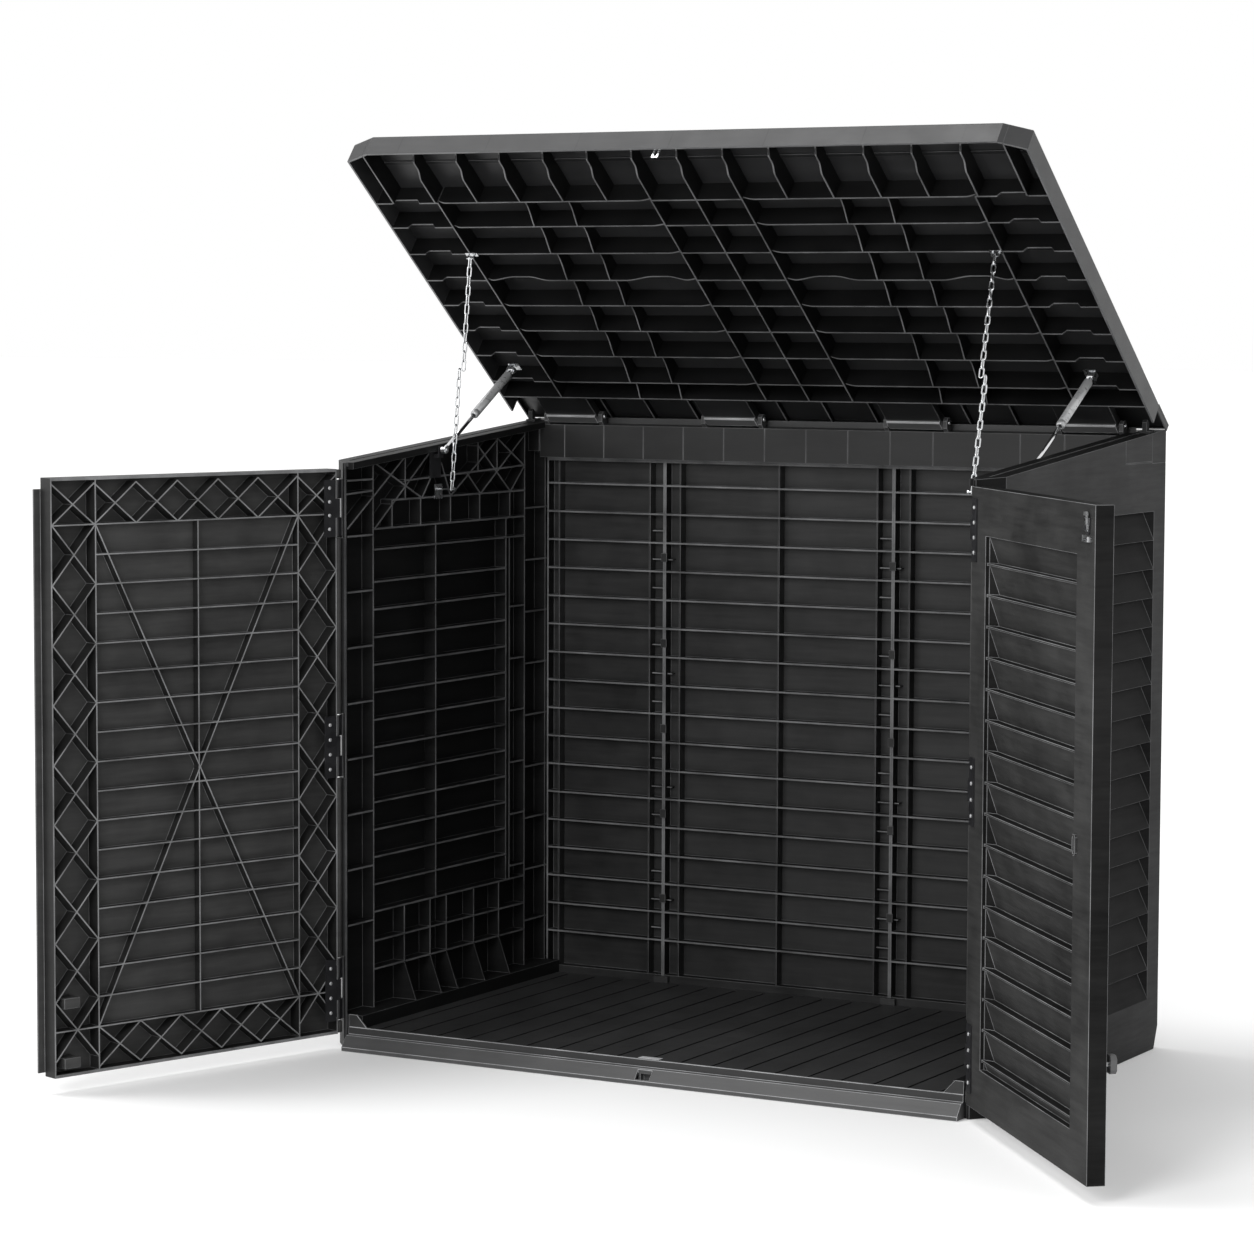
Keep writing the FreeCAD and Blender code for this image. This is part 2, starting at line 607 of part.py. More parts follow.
def chain_link(start, end, flat):
    run = end - start
    length = run.Length
    run.normalize()
    across = run.cross(vec(1, 0, 0))
    across.normalize()
    side = run.cross(across)
    wide, thin = (side, across) if flat else (across, side)
    half = LINK_WIRE / 2
    base = start - thin * half
    loops = []
    for grow in (half, -half):
        u0, u1 = -grow, length + grow
        v = (LINK_WIDE - LINK_WIRE) / 2 + grow
        corners = [base + run * a + wide * b for a, b in ((u0, -v), (u1, -v), (u1, v), (u0, v))]
        push = thin * LINK_WIRE
        loops.append(prism([(c.x, c.y, c.z) for c in corners], (push.x, push.y, push.z)))
    return loops[0].cut(loops[1])


def chain_half(origin, towards, step, count):
    run = towards - origin
    run.normalize()
    links = []
    for k in range(count):
        lap = LINK_LAP if k else END_LAP
        links.append(chain_link(origin + run * (step * k - lap), origin + run * (step * (k + 1)), k % 2 == 1))
    return links


def chain_eye(side):
    x = EYE_X[side]
    s = EYE_S
    wire = 1.4
    plate = lid_box(x - 14, x + 14, s - 5, s + 5, LID_RIB_PLANE - 1.2, LID_RIB_PLANE)
    loop = lid_box(x - 8.4, x + 8.4, s - wire, s + wire, EYE_T - wire, LID_RIB_PLANE - 0.6)
    hole = lid_box(x - 5.6, x + 5.6, s - 3, s + 3, EYE_T + wire, LID_RIB_PLANE - 1.2)
    return tip(fuse([plate, loop.cut(hole)]))


def chain_stud(side):
    stud = chain_ends(side)[2]
    way = -1 if side == "left" else 1
    wall = way * INNER
    shaft = bar(vec(wall - way * 2, stud.y, stud.z), vec(stud.x - way * 7, stud.y, stud.z), STUD_R)
    knob = bar(vec(stud.x - way * 6, stud.y, stud.z), vec(stud.x - way * 9, stud.y, stud.z), STUD_R + 2)
    low = ROW_MID - 4 if side == "left" else ROW_MID + 14
    x0, x1 = sorted((wall, wall - way * 3))
    plate = box(x0, x1, stud.y - 14, stud.y + 14, low, stud.z + 10)
    return fuse([plate, shaft, knob])


# Gas struts: tube on the lid bracket, rod reaching to the wall bracket

STRUT_WALL_Y = place(366.0)
STRUT_WALL_Z = TOP_FRONT + 18.0
TUBE_R = 9.0
TUBE_START = 16.0
TUBE_LONG = 165.0
ROD_R = 4.0
ROD_IN_TUBE = 21.6
STUD_PIN_R = 3.5


def strut_line(side):
    way = -1 if side == "left" else 1
    upper = lid_point(way * STRUT_X, STRUT_S, STRUT_T)
    lower = vec(way * STRUT_X, STRUT_WALL_Y, STRUT_WALL_Z)
    run = lower - upper
    run.normalize()
    return upper, lower, run, way


def strut_tube(side):
    upper, lower, run, way = strut_line(side)
    shell = bar(upper + run * TUBE_START, upper + run * (TUBE_START + TUBE_LONG), TUBE_R, BORE_SIDES)
    return shell.cut(pin_bore(upper + run * (TUBE_START + 30), upper + run * (TUBE_START + TUBE_LONG + 1), ROD_R))


def strut_upper_end(side):
    upper, lower, run, way = strut_line(side)
    eye = bar(upper - vec(5, 0, 0), upper + vec(5, 0, 0), 7.5)
    neck = bar(upper + run * 3, upper + run * TUBE_START, 4.5)
    return fuse([eye, neck]).cut(pin_bore(upper - vec(6, 0, 0), upper + vec(6, 0, 0), STUD_PIN_R))


def strut_rod(side):
    upper, lower, run, way = strut_line(side)
    return bar(lower - run * 14, upper + run * (TUBE_START + TUBE_LONG - ROD_IN_TUBE), ROD_R, BORE_SIDES)


def strut_lower_end(side):
    upper, lower, run, way = strut_line(side)
    eye = bar(lower - vec(5, 0, 0), lower + vec(5, 0, 0), 7.5)
    neck = bar(lower, lower - run * 14, 5.0)
    nut = bar(lower, lower - vec(way * 9, 0, 0), 4.5, 6)
    return fuse([eye, neck, nut])


def strut_lid_bracket(side):
    way = -1 if side == "left" else 1
    x = way * STRUT_X
    outer = way * (STRUT_X + 5.6)
    p0, p1 = sorted((x - way * 17, outer + way * 3))
    plate = lid_box(p0, p1, STRUT_S - 10, STRUT_S + 10, LID_RIB_PLANE - 2.5, LID_RIB_PLANE)
    ear_x0, ear_x1 = sorted((outer, outer + way * 3))
    ear = lid_box(ear_x0, ear_x1, STRUT_S - 8, STRUT_S + 8, STRUT_T - 8, LID_RIB_PLANE - 1)
    stud = pin(vec(outer + way, -STRUT_S, STRUT_T), vec(x - way * 6, -STRUT_S, STRUT_T), STUD_PIN_R)
    head = bar(vec(x - way * 5.5, -STRUT_S, STRUT_T), vec(x - way * 8, -STRUT_S, STRUT_T), STUD_PIN_R + 2)
    return tip(fuse([plate, ear, stud, head]))


def strut_wall_bracket(side):
    way = -1 if side == "left" else 1
    y, z = STRUT_WALL_Y, STRUT_WALL_Z
    low = ROW_HIGH - 6
    top = wall_top(y - 20) - TOP_RAIL_DROP - 1
    x0, x1 = sorted((way * INNER, way * (INNER - 3)))
    plate = box(x0, x1, y - 20, y + 20, low, top)
    a0, a1 = sorted((way * (INNER - 2), way * (STRUT_X + 7)))
    arm = box(a0, a1, y - 8, y + 8, top - 12, top - 4)
    t0, t1 = sorted((way * (STRUT_X + 6.5), way * (STRUT_X + 9.5)))
    tab = box(t0, t1, y - 8, y + 8, top - 12, z + 8)
    boss = bar(vec(way * (STRUT_X + 7), y, z), vec(way * (STRUT_X + 5.6), y, z), 5.0)
    return fuse([plate, arm, tab, boss])


# Doors are drawn shut in the left opening: u from the hinge edge, v up, w outward from the inner face

def door_box(u0, u1, v0, v1, w0, w1):
    return box(-DOOR_EDGE_X + u0, -DOOR_EDGE_X + u1, DOOR_INNER_Y - w1, DOOR_INNER_Y - w0,
               DOOR_BOTTOM + v0, DOOR_BOTTOM + v1)


def door_rib(a, b, w0, w1, thick=RIB):
    start = (-DOOR_EDGE_X + a[0], DOOR_BOTTOM + a[1])
    end = (-DOOR_EDGE_X + b[0], DOOR_BOTTOM + b[1])
    return rib_xz(start, end, DOOR_INNER_Y - w1, DOOR_INNER_Y - w0, thick, 0.5)


def door_profile(points_wv, u0, u1):
    ring = [(-DOOR_EDGE_X + u0, DOOR_INNER_Y - w, DOOR_BOTTOM + v) for w, v in points_wv]
    return prism(ring, (u1 - u0, 0, 0))


def hang(shape, side):
    turned = shape if side == "left" else mirror_x(shape)
    turned = turned.copy()
    if side == "left":
        turned.rotate(vec(-DOOR_PIN_X, DOOR_PIN_Y, 0), vec(0, 0, 1), -DOOR_LEFT_OPEN)
    else:
        turned.rotate(vec(DOOR_PIN_X, DOOR_PIN_Y, 0), vec(0, 0, 1), DOOR_RIGHT_OPEN)
    return turned


BAND = 0.1426 * DOOR_WIDTH
FAR_BAND = 0.851 * DOOR_WIDTH
TOP_LINE = 0.921 * DOOR_HEIGHT
BOTTOM_LINE = 0.077 * DOOR_HEIGHT
DIAMOND = 0.0993 * DOOR_HEIGHT
FIELD_SKIN = 17.0
FIELD_LOUVRE = 11.0


def left_door_ribs():
    w0, w1 = 0.0, DOOR_THICK - SKIN + 1
    edge = DOOR_WIDTH
    high = DOOR_HEIGHT
    ribs = [((BAND, 2), (BAND, high - 2)), ((FAR_BAND, 2), (FAR_BAND, high - 2)),
            ((2, TOP_LINE), (edge - 2, TOP_LINE)), ((2, BOTTOM_LINE), (edge - 2, BOTTOM_LINE))]
    for u0, u1 in ((2, BAND), (FAR_BAND, edge - 3)):
        for k in range(9):
            top = TOP_LINE - DIAMOND * k
            ribs.append(((u0, top), (u1, top - DIAMOND)))
            ribs.append(((u1, top), (u0, top - DIAMOND)))
    cells = 7
    pitch = (edge - 4) / cells
    for k in range(cells):
        u = 2 + pitch * k
        ribs.append(((u, TOP_LINE), (u + pitch, high - 12)))
        ribs.append(((u + pitch, TOP_LINE), (u, high - 12)))
    cells = 5
    pitch = (FAR_BAND - BAND) / cells
    for k in range(cells):
        u = BAND + pitch * k
        ribs.append(((u, BOTTOM_LINE), (u + pitch, 10)))
        ribs.append(((u + pitch, BOTTOM_LINE), (u, 10)))
    return [door_rib(a, b, w0, w1, 3.0) for a, b in ribs]


def left_field_ribs():
    w0, w1 = 0.0, FIELD_SKIN + 1
    first = 0.128 * DOOR_HEIGHT
    pitch = 0.0495 * DOOR_HEIGHT
    lines = [((BAND, v), (FAR_BAND, v)) for v in steps(first, pitch, 16)]
    lines.append(((BAND, TOP_LINE), (FAR_BAND, BOTTOM_LINE)))
    lines.append(((FAR_BAND, TOP_LINE), (BAND, BOTTOM_LINE)))
    return [door_rib(a, b, w0 + 0.0, w1, 3.0) for a, b in lines]


def door_left_panel():
    body = door_box(0, DOOR_WIDTH, 0, DOOR_HEIGHT, 0, DOOR_THICK)
    frame_pocket = door_box(3, DOOR_WIDTH - 3, 6, DOOR_HEIGHT - 6, -1, DOOR_THICK - SKIN)
    field = door_box(BAND, FAR_BAND, BOTTOM_LINE, TOP_LINE, FIELD_SKIN, DOOR_THICK)
    body = fuse([body.cut(frame_pocket), field])
    first = 0.128 * DOOR_HEIGHT - 0.0495 * DOOR_HEIGHT
    pitch = 0.0495 * DOOR_HEIGHT
    points = [(DOOR_THICK + 9, first)]
    for k in range(17):
        points.append((DOOR_THICK, first + pitch * k))
        points.append((DOOR_THICK - FIELD_LOUVRE, first + pitch * (k + 1)))
    points.append((DOOR_THICK + 9, first + pitch * 17))
    body = body.cut(door_profile(points, BAND + 6, FAR_BAND - 6))
    body = fuse([body] + left_door_ribs() + left_field_ribs())
    return body.cut(Part.makeCompound(door_bosses()))


STILE_IN = 0.12 * DOOR_WIDTH
STILE_OUT = 0.865 * DOOR_WIDTH
RAIL_LOW = 0.07 * DOOR_HEIGHT
RAIL_HIGH = 0.924 * DOOR_HEIGHT
LEDGE_FIRST = 0.0855 * DOOR_HEIGHT
LEDGE_PITCH = 0.0497 * DOOR_HEIGHT
LEDGES = 17
BOLT_U = DOOR_EDGE_X - BOLT_X
CHANNEL_HIGH = 262.0


def door_right_panel():
    body = door_box(0, DOOR_WIDTH, 0, DOOR_HEIGHT, 0, DOOR_THICK)
    body = body.cut(door_box(STILE_IN, STILE_OUT, RAIL_LOW, RAIL_HIGH, -1, DOOR_THICK + 1))
    cavities = [door_box(SKIN, STILE_IN - SKIN, -1, DOOR_HEIGHT - 12, SKIN, DOOR_THICK - SKIN),
                door_box(STILE_OUT + SKIN, BOLT_U - 18, -1, DOOR_HEIGHT - 12, SKIN, DOOR_THICK - SKIN),
                door_box(STILE_IN + SKIN, STILE_OUT - SKIN, -1, RAIL_LOW - SKIN, SKIN, DOOR_THICK - SKIN),
                door_box(BOLT_U - 11, BOLT_U + 11, -1, CHANNEL_HIGH, 12, DOOR_THICK + 1)]
    body = body.cut(Part.makeCompound(cavities))
    boards = []
    for k in range(-1, LEDGES):
        low = max(LEDGE_FIRST + LEDGE_PITCH * k, RAIL_LOW)
        high = min(LEDGE_FIRST + LEDGE_PITCH * (k + 1), RAIL_HIGH)
        if high - low < 8:
            continue
        slope = 14.0 / LEDGE_PITCH
        deep = 8.0 + slope * (high - low)
        boards.append(door_profile([(8, high), (12, high), (deep + 4, low), (deep, low)], STILE_IN, STILE_OUT))
        if k >= 0:
            boards.append(door_profile([(4, low - 3), (4, low + 1), (deep + 4, low + 1), (deep + 4, low - 3)],
                                       STILE_IN, STILE_OUT))
    top = LEDGE_FIRST + LEDGE_PITCH * LEDGES
    boards.append(door_profile([(8, RAIL_HIGH), (12, RAIL_HIGH), (12, top - 1), (8, top - 1)], STILE_IN, STILE_OUT))
    fills = []
    for u, away in ((STILE_IN, 1), (STILE_OUT, -1)):
        ring = [(-DOOR_EDGE_X + u, DOOR_INNER_Y - 8), (-DOOR_EDGE_X + u, DOOR_INNER_Y - 26),
                (-DOOR_EDGE_X + u + away * 26, DOOR_INNER_Y - 26)]
        fills.append(prism_z(ring, DOOR_BOTTOM + RAIL_LOW, DOOR_BOTTOM + RAIL_HIGH))
    return fuse([body] + boards + fills)


def door_astragal():
    v0, v1 = 0.0066 * DOOR_HEIGHT, 0.981 * DOOR_HEIGHT
    strip = door_box(DOOR_WIDTH - 12, DOOR_WIDTH + 15, v0, v1, DOOR_THICK, DOOR_THICK + 4)
    return strip.cut(door_box(DOOR_WIDTH, DOOR_WIDTH + 16, v0 - 1, v1 + 1, DOOR_THICK - 1, DOOR_THICK + 0.6))


def door_bosses():
    u = 0.945 * DOOR_WIDTH
    depth = DOOR_THICK - SKIN
    return [door_box(u - 18, u + 18, v - 10, v + 10, -4, depth) for v in (0.124 * DOOR_HEIGHT, 0.023 * DOOR_HEIGHT)]


# Door hinges: three to a door

HINGE_SPANS = ((0.881, 0.981), (0.457, 0.566), (0.024, 0.134))
KNUCKLE_R = 6.2


def hinge_zones(low, high):
    span = (high - low) / 3
    return [(low + span * k + AXIAL / 2, low + span * (k + 1) - AXIAL / 2) for k in range(3)]


def door_leaf(low, high):
    px, py = -DOOR_PIN_X, DOOR_PIN_Y
    z0, z1 = hinge_zones(low, high)[1]
    parts = [box(px + 14, px + 40, DOOR_INNER_Y, DOOR_INNER_Y + HINGE_LEAF, low, high),
             bar(vec(px, py, z0), vec(px, py, z1), KNUCKLE_R),
             box(px, px + 15, DOOR_INNER_Y, DOOR_INNER_Y + 1.4, z0, z1),
             box(px, px + 4.5, py, DOOR_INNER_Y + 1.4, z0, z1)]
    return fuse(parts).cut(pin_bore(vec(px, py, low - 1), vec(px, py, high + 1), DOOR_PIN_R))


def wall_leaf(low, high):
    px, py = -DOOR_PIN_X, DOOR_PIN_Y
    parts = []
    slope = CHAMFER_Y / CHAMFER_X
    face = WALL_FRONT + (DOOR_PIN_X - INNER - 5) * slope
    for z0, z1 in hinge_zones(low, high)[0::2]:
        parts.append(bar(vec(px, py, z0), vec(px, py, z1), KNUCKLE_R))
        arm = [(px - 3.5, py), (px + 3.5, py), (px + 3.5, face - 3.5 * slope), (px - 3.5, face + 3.5 * slope)]
        parts.append(prism_z(arm, z0, z1))
    thick = 2.5
    norm = math.hypot(CHAMFER_X, CHAMFER_Y)
    off = (thick * CHAMFER_Y / norm, thick * CHAMFER_X / norm)
    a = (-INNER - 5 - 2, WALL_FRONT + 2 * slope)
    b = (-INNER - 5 - 22, WALL_FRONT + 22 * slope)
    plate = [a, b, (b[0] - off[0], b[1] - off[1]), (a[0] - off[0], a[1] - off[1])]
    parts.append(prism_z(plate, low + 1, high - 1))
    return fuse(parts)


def hinge_pin(low, high):
    px, py = -DOOR_PIN_X, DOOR_PIN_Y
    zones = hinge_zones(low, high)
    return pin(vec(px, py, zones[0][1]), vec(px, py, zones[2][0]), DOOR_PIN_R)


def hinge_set(maker):
    return [maker(DOOR_BOTTOM + low * DOOR_HEIGHT, DOOR_BOTTOM + high * DOOR_HEIGHT) for low, high in HINGE_SPANS]


# Drop bolt on the outer side of the right door

BOLT_HALF = 4.0
BOLT_W = 17.0
BOLT_LOW = 4.0
BOLT_HIGH = 218.0
KNOB_V = 203.0
GUIDE_V = (151.0, 165.0)
FOOT_V = (8.0, 22.0)


def bolt_bar(v0, v1, half):
    return door_box(BOLT_U - half, BOLT_U + half, v0, v1, BOLT_W - half, BOLT_W + half)


def drop_bolt_rod():
    stem = door_box(BOLT_U - 3.5, BOLT_U + 3.5, KNOB_V - 3.5, KNOB_V + 3.5, BOLT_W, DOOR_THICK + 8)
    return fuse([bolt_bar(BOLT_LOW, BOLT_HIGH, BOLT_HALF), stem])


def cut_corner_plate(x, z, half_x, half_z, corner, y0, y1):
    ring = []
    for sx, sz in ((1, -1), (1, 1), (-1, 1), (-1, -1)):
        a = (x + sx * (half_x - corner), z + sz * half_z)
        b = (x + sx * half_x, z + sz * (half_z - corner))
        ring += [a, b] if sx * sz < 0 else [b, a]
    return prism_y(ring, y0, y1)


def drop_bolt_knob():
    face = DOOR_INNER_Y - DOOR_THICK - 8
    return cut_corner_plate(-DOOR_EDGE_X + BOLT_U, DOOR_BOTTOM + KNOB_V, 14, 16, 6, face - 12, face)


def bolt_guide(v0, v1):
    body = door_box(BOLT_U - 11, BOLT_U + 11, v0, v1, BOLT_W - 5, DOOR_THICK)
    return body.cut(bolt_bar(v0 - 1, v1 + 1, BOLT_HALF + RUNNING))


# Latch near the top free corner of the right door

LATCH_U = 0.955 * DOOR_WIDTH
LATCH_V = 0.966 * DOOR_HEIGHT
LATCH_PIN_R = 3.0


def latch_point(w):
    return vec(-DOOR_EDGE_X + LATCH_U, DOOR_INNER_Y - w, DOOR_BOTTOM + LATCH_V)


def latch_plate():
    x, z = -DOOR_EDGE_X + LATCH_U, DOOR_BOTTOM + LATCH_V
    ring = [(x - 9, z + 16), (x + 9, z + 16), (x + 5, z - 12), (x - 5, z - 12)]
    plate = prism_y(ring, DOOR_INNER_Y, DOOR_INNER_Y + 2.5)
    post = pin(latch_point(-2), latch_point(-8), LATCH_PIN_R)
    head = bar(latch_point(-7.6), latch_point(-9.5), LATCH_PIN_R + 2)
    return fuse([plate, post, head])


def latch_hook():
    x, z = -DOOR_EDGE_X + LATCH_U, DOOR_BOTTOM + LATCH_V
    y0, y1 = DOOR_INNER_Y + 3.1, DOOR_INNER_Y + 7.0
    hub = bar(vec(x, y0, z), vec(x, y1, z), 7.2)
    arm = prism_y([(x - 3, z), (x + 3, z), (x + 3, z + 26), (x - 3, z + 26)], y0, y1)
    beak = prism_y([(x - 3, z + 20), (x - 10, z + 20), (x - 10, z + 26), (x - 3, z + 26)], y0, y1)
    return fuse([hub, arm, beak]).cut(pin_bore(vec(x, y0 - 1, z), vec(x, y1 + 1, z), LATCH_PIN_R))


def latch_rest():
    x, z = -DOOR_EDGE_X + LATCH_U, DOOR_BOTTOM + LATCH_V
    foot = box(x - 13, x + 13, DOOR_INNER_Y, DOOR_INNER_Y + 8, z - 24, z - 20)
    arms = [box(x - 13, x - 10, DOOR_INNER_Y, DOOR_INNER_Y + 8, z - 22, z - 13),
            box(x + 10, x + 13, DOOR_INNER_Y, DOOR_INNER_Y + 8, z - 22, z - 15)]
    return fuse([foot] + arms)


def door_grip():
    u, v = STILE_OUT + 14, 0.496 * DOOR_HEIGHT
    x, z = -DOOR_EDGE_X + u, DOOR_BOTTOM + v
    high = 0.032 * DOOR_HEIGHT
    outer = cut_corner_plate(x, z, 9, high / 2, 5, DOOR_INNER_Y, DOOR_INNER_Y + 5)
    inner = cut_corner_plate(x, z, 5, high / 2 - 4, 3, DOOR_INNER_Y + 1.5, DOOR_INNER_Y + 6)
    return outer.cut(inner)


# Write one STEP file for each named piece

def save(name, shapes):
    if not isinstance(shapes, list):
        shapes = [shapes]
    solids = []
    for shape in shapes:
        solids += shape.Solids
    out = solids[0] if len(solids) == 1 else Part.makeCompound(solids)
    out.exportStep("parts/" + name + ".step")
    print(name, len(solids), "solids", round(sum(s.Volume for s in solids) / 1000.0), "cm3",
          "valid" if all(s.isValid() for s in solids) else "INVALID")


def main():
    os.makedirs("parts", exist_ok=True)
    save("base_floor", base_floor())
    save("front_sill", front_sill())
    save("bolt_keeper", bolt_keeper())
    save("floor_clips", floor_clips())
    wall = side_wall()
    save("wall_right", wall)
    save("wall_left", mirror_x(wall))
    cap = rear_cap()
    save("cap_rear_right", cap)
    save("cap_rear_left", mirror_x(cap))
    post = lid_post()
    save("lid_post_right", post)
    save("lid_post_left", mirror_x(post))
    save("rear_panel_left", rear_panel(-INNER, SEAMS[0]))
    save("rear_panel_centre", rear_panel(SEAMS[0], SEAMS[1]))
    save("rear_panel_right", rear_panel(SEAMS[1], INNER))
    save("panel_clips", panel_clips())
    save("rear_rail", rear_rail())
    save("lid_hinge_lugs", lid_lugs())
    save("lid_hinge_pins", lid_pins())
    save("lid_panel", lid_panel())
    save("lid_hinge_barrels", lid_barrels())
    save("lid_catch", lid_catch())
    for side in ("left", "right"):
        eye, middle, stud, step, upper, lower = chain_ends(side)
        aside = vec(MIDDLE_SHIFT if side == "right" else -MIDDLE_SHIFT, 0, 0)
        save("chain_" + side + "_upper", chain_half(eye, middle - aside, step, upper))
        save("chain_" + side + "_lower", chain_half(stud, middle + aside, step, lower))
        save("chain_" + side + "_eye", chain_eye(side))
        save("chain_" + side + "_stud", chain_stud(side))
        save("strut_" + side + "_tube", strut_tube(side))
        save("strut_" + side + "_upper_end", strut_upper_end(side))
        save("strut_" + side + "_rod", strut_rod(side))
        save("strut_" + side + "_lower_end", strut_lower_end(side))
        save("strut_" + side + "_lid_bracket", strut_lid_bracket(side))
        save("strut_" + side + "_wall_bracket", strut_wall_bracket(side))
        leaves = hinge_set(door_leaf)
        fixed = hinge_set(wall_leaf)
        pins = hinge_set(hinge_pin)
        save("door_" + side + "_hinge_leaves", [hang(s, side) for s in leaves])
        save("wall_" + side + "_hinge_leaves", fixed if side == "left" else [mirror_x(s) for s in fixed])
        save("wall_" + side + "_hinge_pins", pins if side == "left" else [mirror_x(s) for s in pins])
    save("door_left_panel", hang(door_left_panel(), "left"))
    save("door_left_astragal", hang(door_astragal(), "left"))
    save("door_left_bosses", [hang(s, "left") for s in door_bosses()])
    save("door_right_panel", hang(door_right_panel(), "right"))
    save("door_right_grip", hang(door_grip(), "right"))
    save("drop_bolt_rod", hang(drop_bolt_rod(), "right"))
    save("drop_bolt_knob", hang(drop_bolt_knob(), "right"))
    save("bolt_guide_upper", hang(bolt_guide(*GUIDE_V), "right"))
    save("bolt_guide_lower", hang(bolt_guide(*FOOT_V), "right"))
    save("latch_plate", hang(latch_plate(), "right"))
    save("latch_rest", hang(latch_rest(), "right"))
    save("latch_hook", hang(latch_hook(), "right"))


main()
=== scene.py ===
"""An open wheelie bin store in dark moulded plastic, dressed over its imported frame.

Metres, in the frame of the solids: X across the front, +Y to the rear, +Z up.
"""
import json
import logging
import math
from dataclasses import dataclass
from enum import Enum
from typing import Callable, ClassVar, Iterable, Sequence

import bmesh
import bpy
import numpy as np
from mathutils import Matrix, Vector


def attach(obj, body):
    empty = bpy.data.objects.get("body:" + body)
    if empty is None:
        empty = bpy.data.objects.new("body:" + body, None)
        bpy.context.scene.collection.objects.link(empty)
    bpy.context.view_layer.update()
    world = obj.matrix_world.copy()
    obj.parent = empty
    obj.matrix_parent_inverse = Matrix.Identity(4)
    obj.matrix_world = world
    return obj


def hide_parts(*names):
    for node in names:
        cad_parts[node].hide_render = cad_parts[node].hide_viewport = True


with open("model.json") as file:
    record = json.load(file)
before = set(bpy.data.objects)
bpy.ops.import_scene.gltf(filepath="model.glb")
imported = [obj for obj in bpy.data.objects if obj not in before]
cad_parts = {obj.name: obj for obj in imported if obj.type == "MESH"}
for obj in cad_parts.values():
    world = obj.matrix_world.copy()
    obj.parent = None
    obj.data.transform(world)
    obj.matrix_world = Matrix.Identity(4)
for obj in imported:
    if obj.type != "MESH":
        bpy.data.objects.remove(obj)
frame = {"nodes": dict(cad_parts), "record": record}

logging.basicConfig(level=logging.INFO, format="%(message)s")
log = logging.getLogger("bin_store")

Points = np.ndarray
Triple = tuple[float, float, float]

MOTION = frame["record"]["behaviour"]
JOINTS: dict[str, dict] = {joint["name"]: joint for joint in MOTION["joints"]}
BODY_OF: dict[str, set[str]] = {name: set(nodes) for name, nodes in MOTION["bodies"].items()}

# The lid's angle above level as it stands open, in degrees
LID_OPEN = 38.6
# The height of the doors' lower edge, and a shut door's hinge corner across and along
DOOR_BOTTOM = 0.033
DOOR_CORNER = (0.690, -0.409)
# The side walls' inner faces, across, and the rear boards' inner face, along
WALL_INNER = 0.685
REAR_INNER = 0.393
# The cosine under which a face counts as sloping against its panel
SLOPED = 0.9992
# A face lies in a plane when its middle is nearer than this
IN_PLANE = 0.0006
# Points nearer than this are one
WELD = 2e-6
# Neighbouring faces bent less than FLAT are joined, and edges bent more than SHARP are rounded, in degrees
FLAT = 0.6
SHARP = 25.0


# Shader expressions


class Wire:
    """A node socket that can be written in an arithmetic expression."""

    def __init__(self, board: "Board", socket: bpy.types.NodeSocket) -> None:
        """Keep the board that the socket belongs to."""
        self.board = board
        self.socket = socket

    def maths(self, operation: str, *values: object, clamp: bool = False) -> "Wire":
        """Add one Math node.

        Args:
            operation: the node's operation.
            values: numbers or wires, in the node's order.
            clamp: hold the result between 0 and 1.

        Returns:
            The wire of the result.
        """
        return self.board.node("ShaderNodeMath", {"operation": operation, "use_clamp": clamp},
                               dict(enumerate(values)))

    def __add__(self, other: object) -> "Wire":
        """Sum."""
        return self.maths("ADD", self, other)

    def __sub__(self, other: object) -> "Wire":
        """Difference."""
        return self.maths("SUBTRACT", self, other)

    def __rsub__(self, other: object) -> "Wire":
        """Difference from a number."""
        return self.maths("SUBTRACT", other, self)

    def __mul__(self, other: object) -> "Wire":
        """Product."""
        return self.maths("MULTIPLY", self, other)

    __radd__ = __add__
    __rmul__ = __mul__

    def held(self) -> "Wire":
        """The value held between 0 and 1."""
        return self.maths("ADD", self, 0.0, clamp=True)


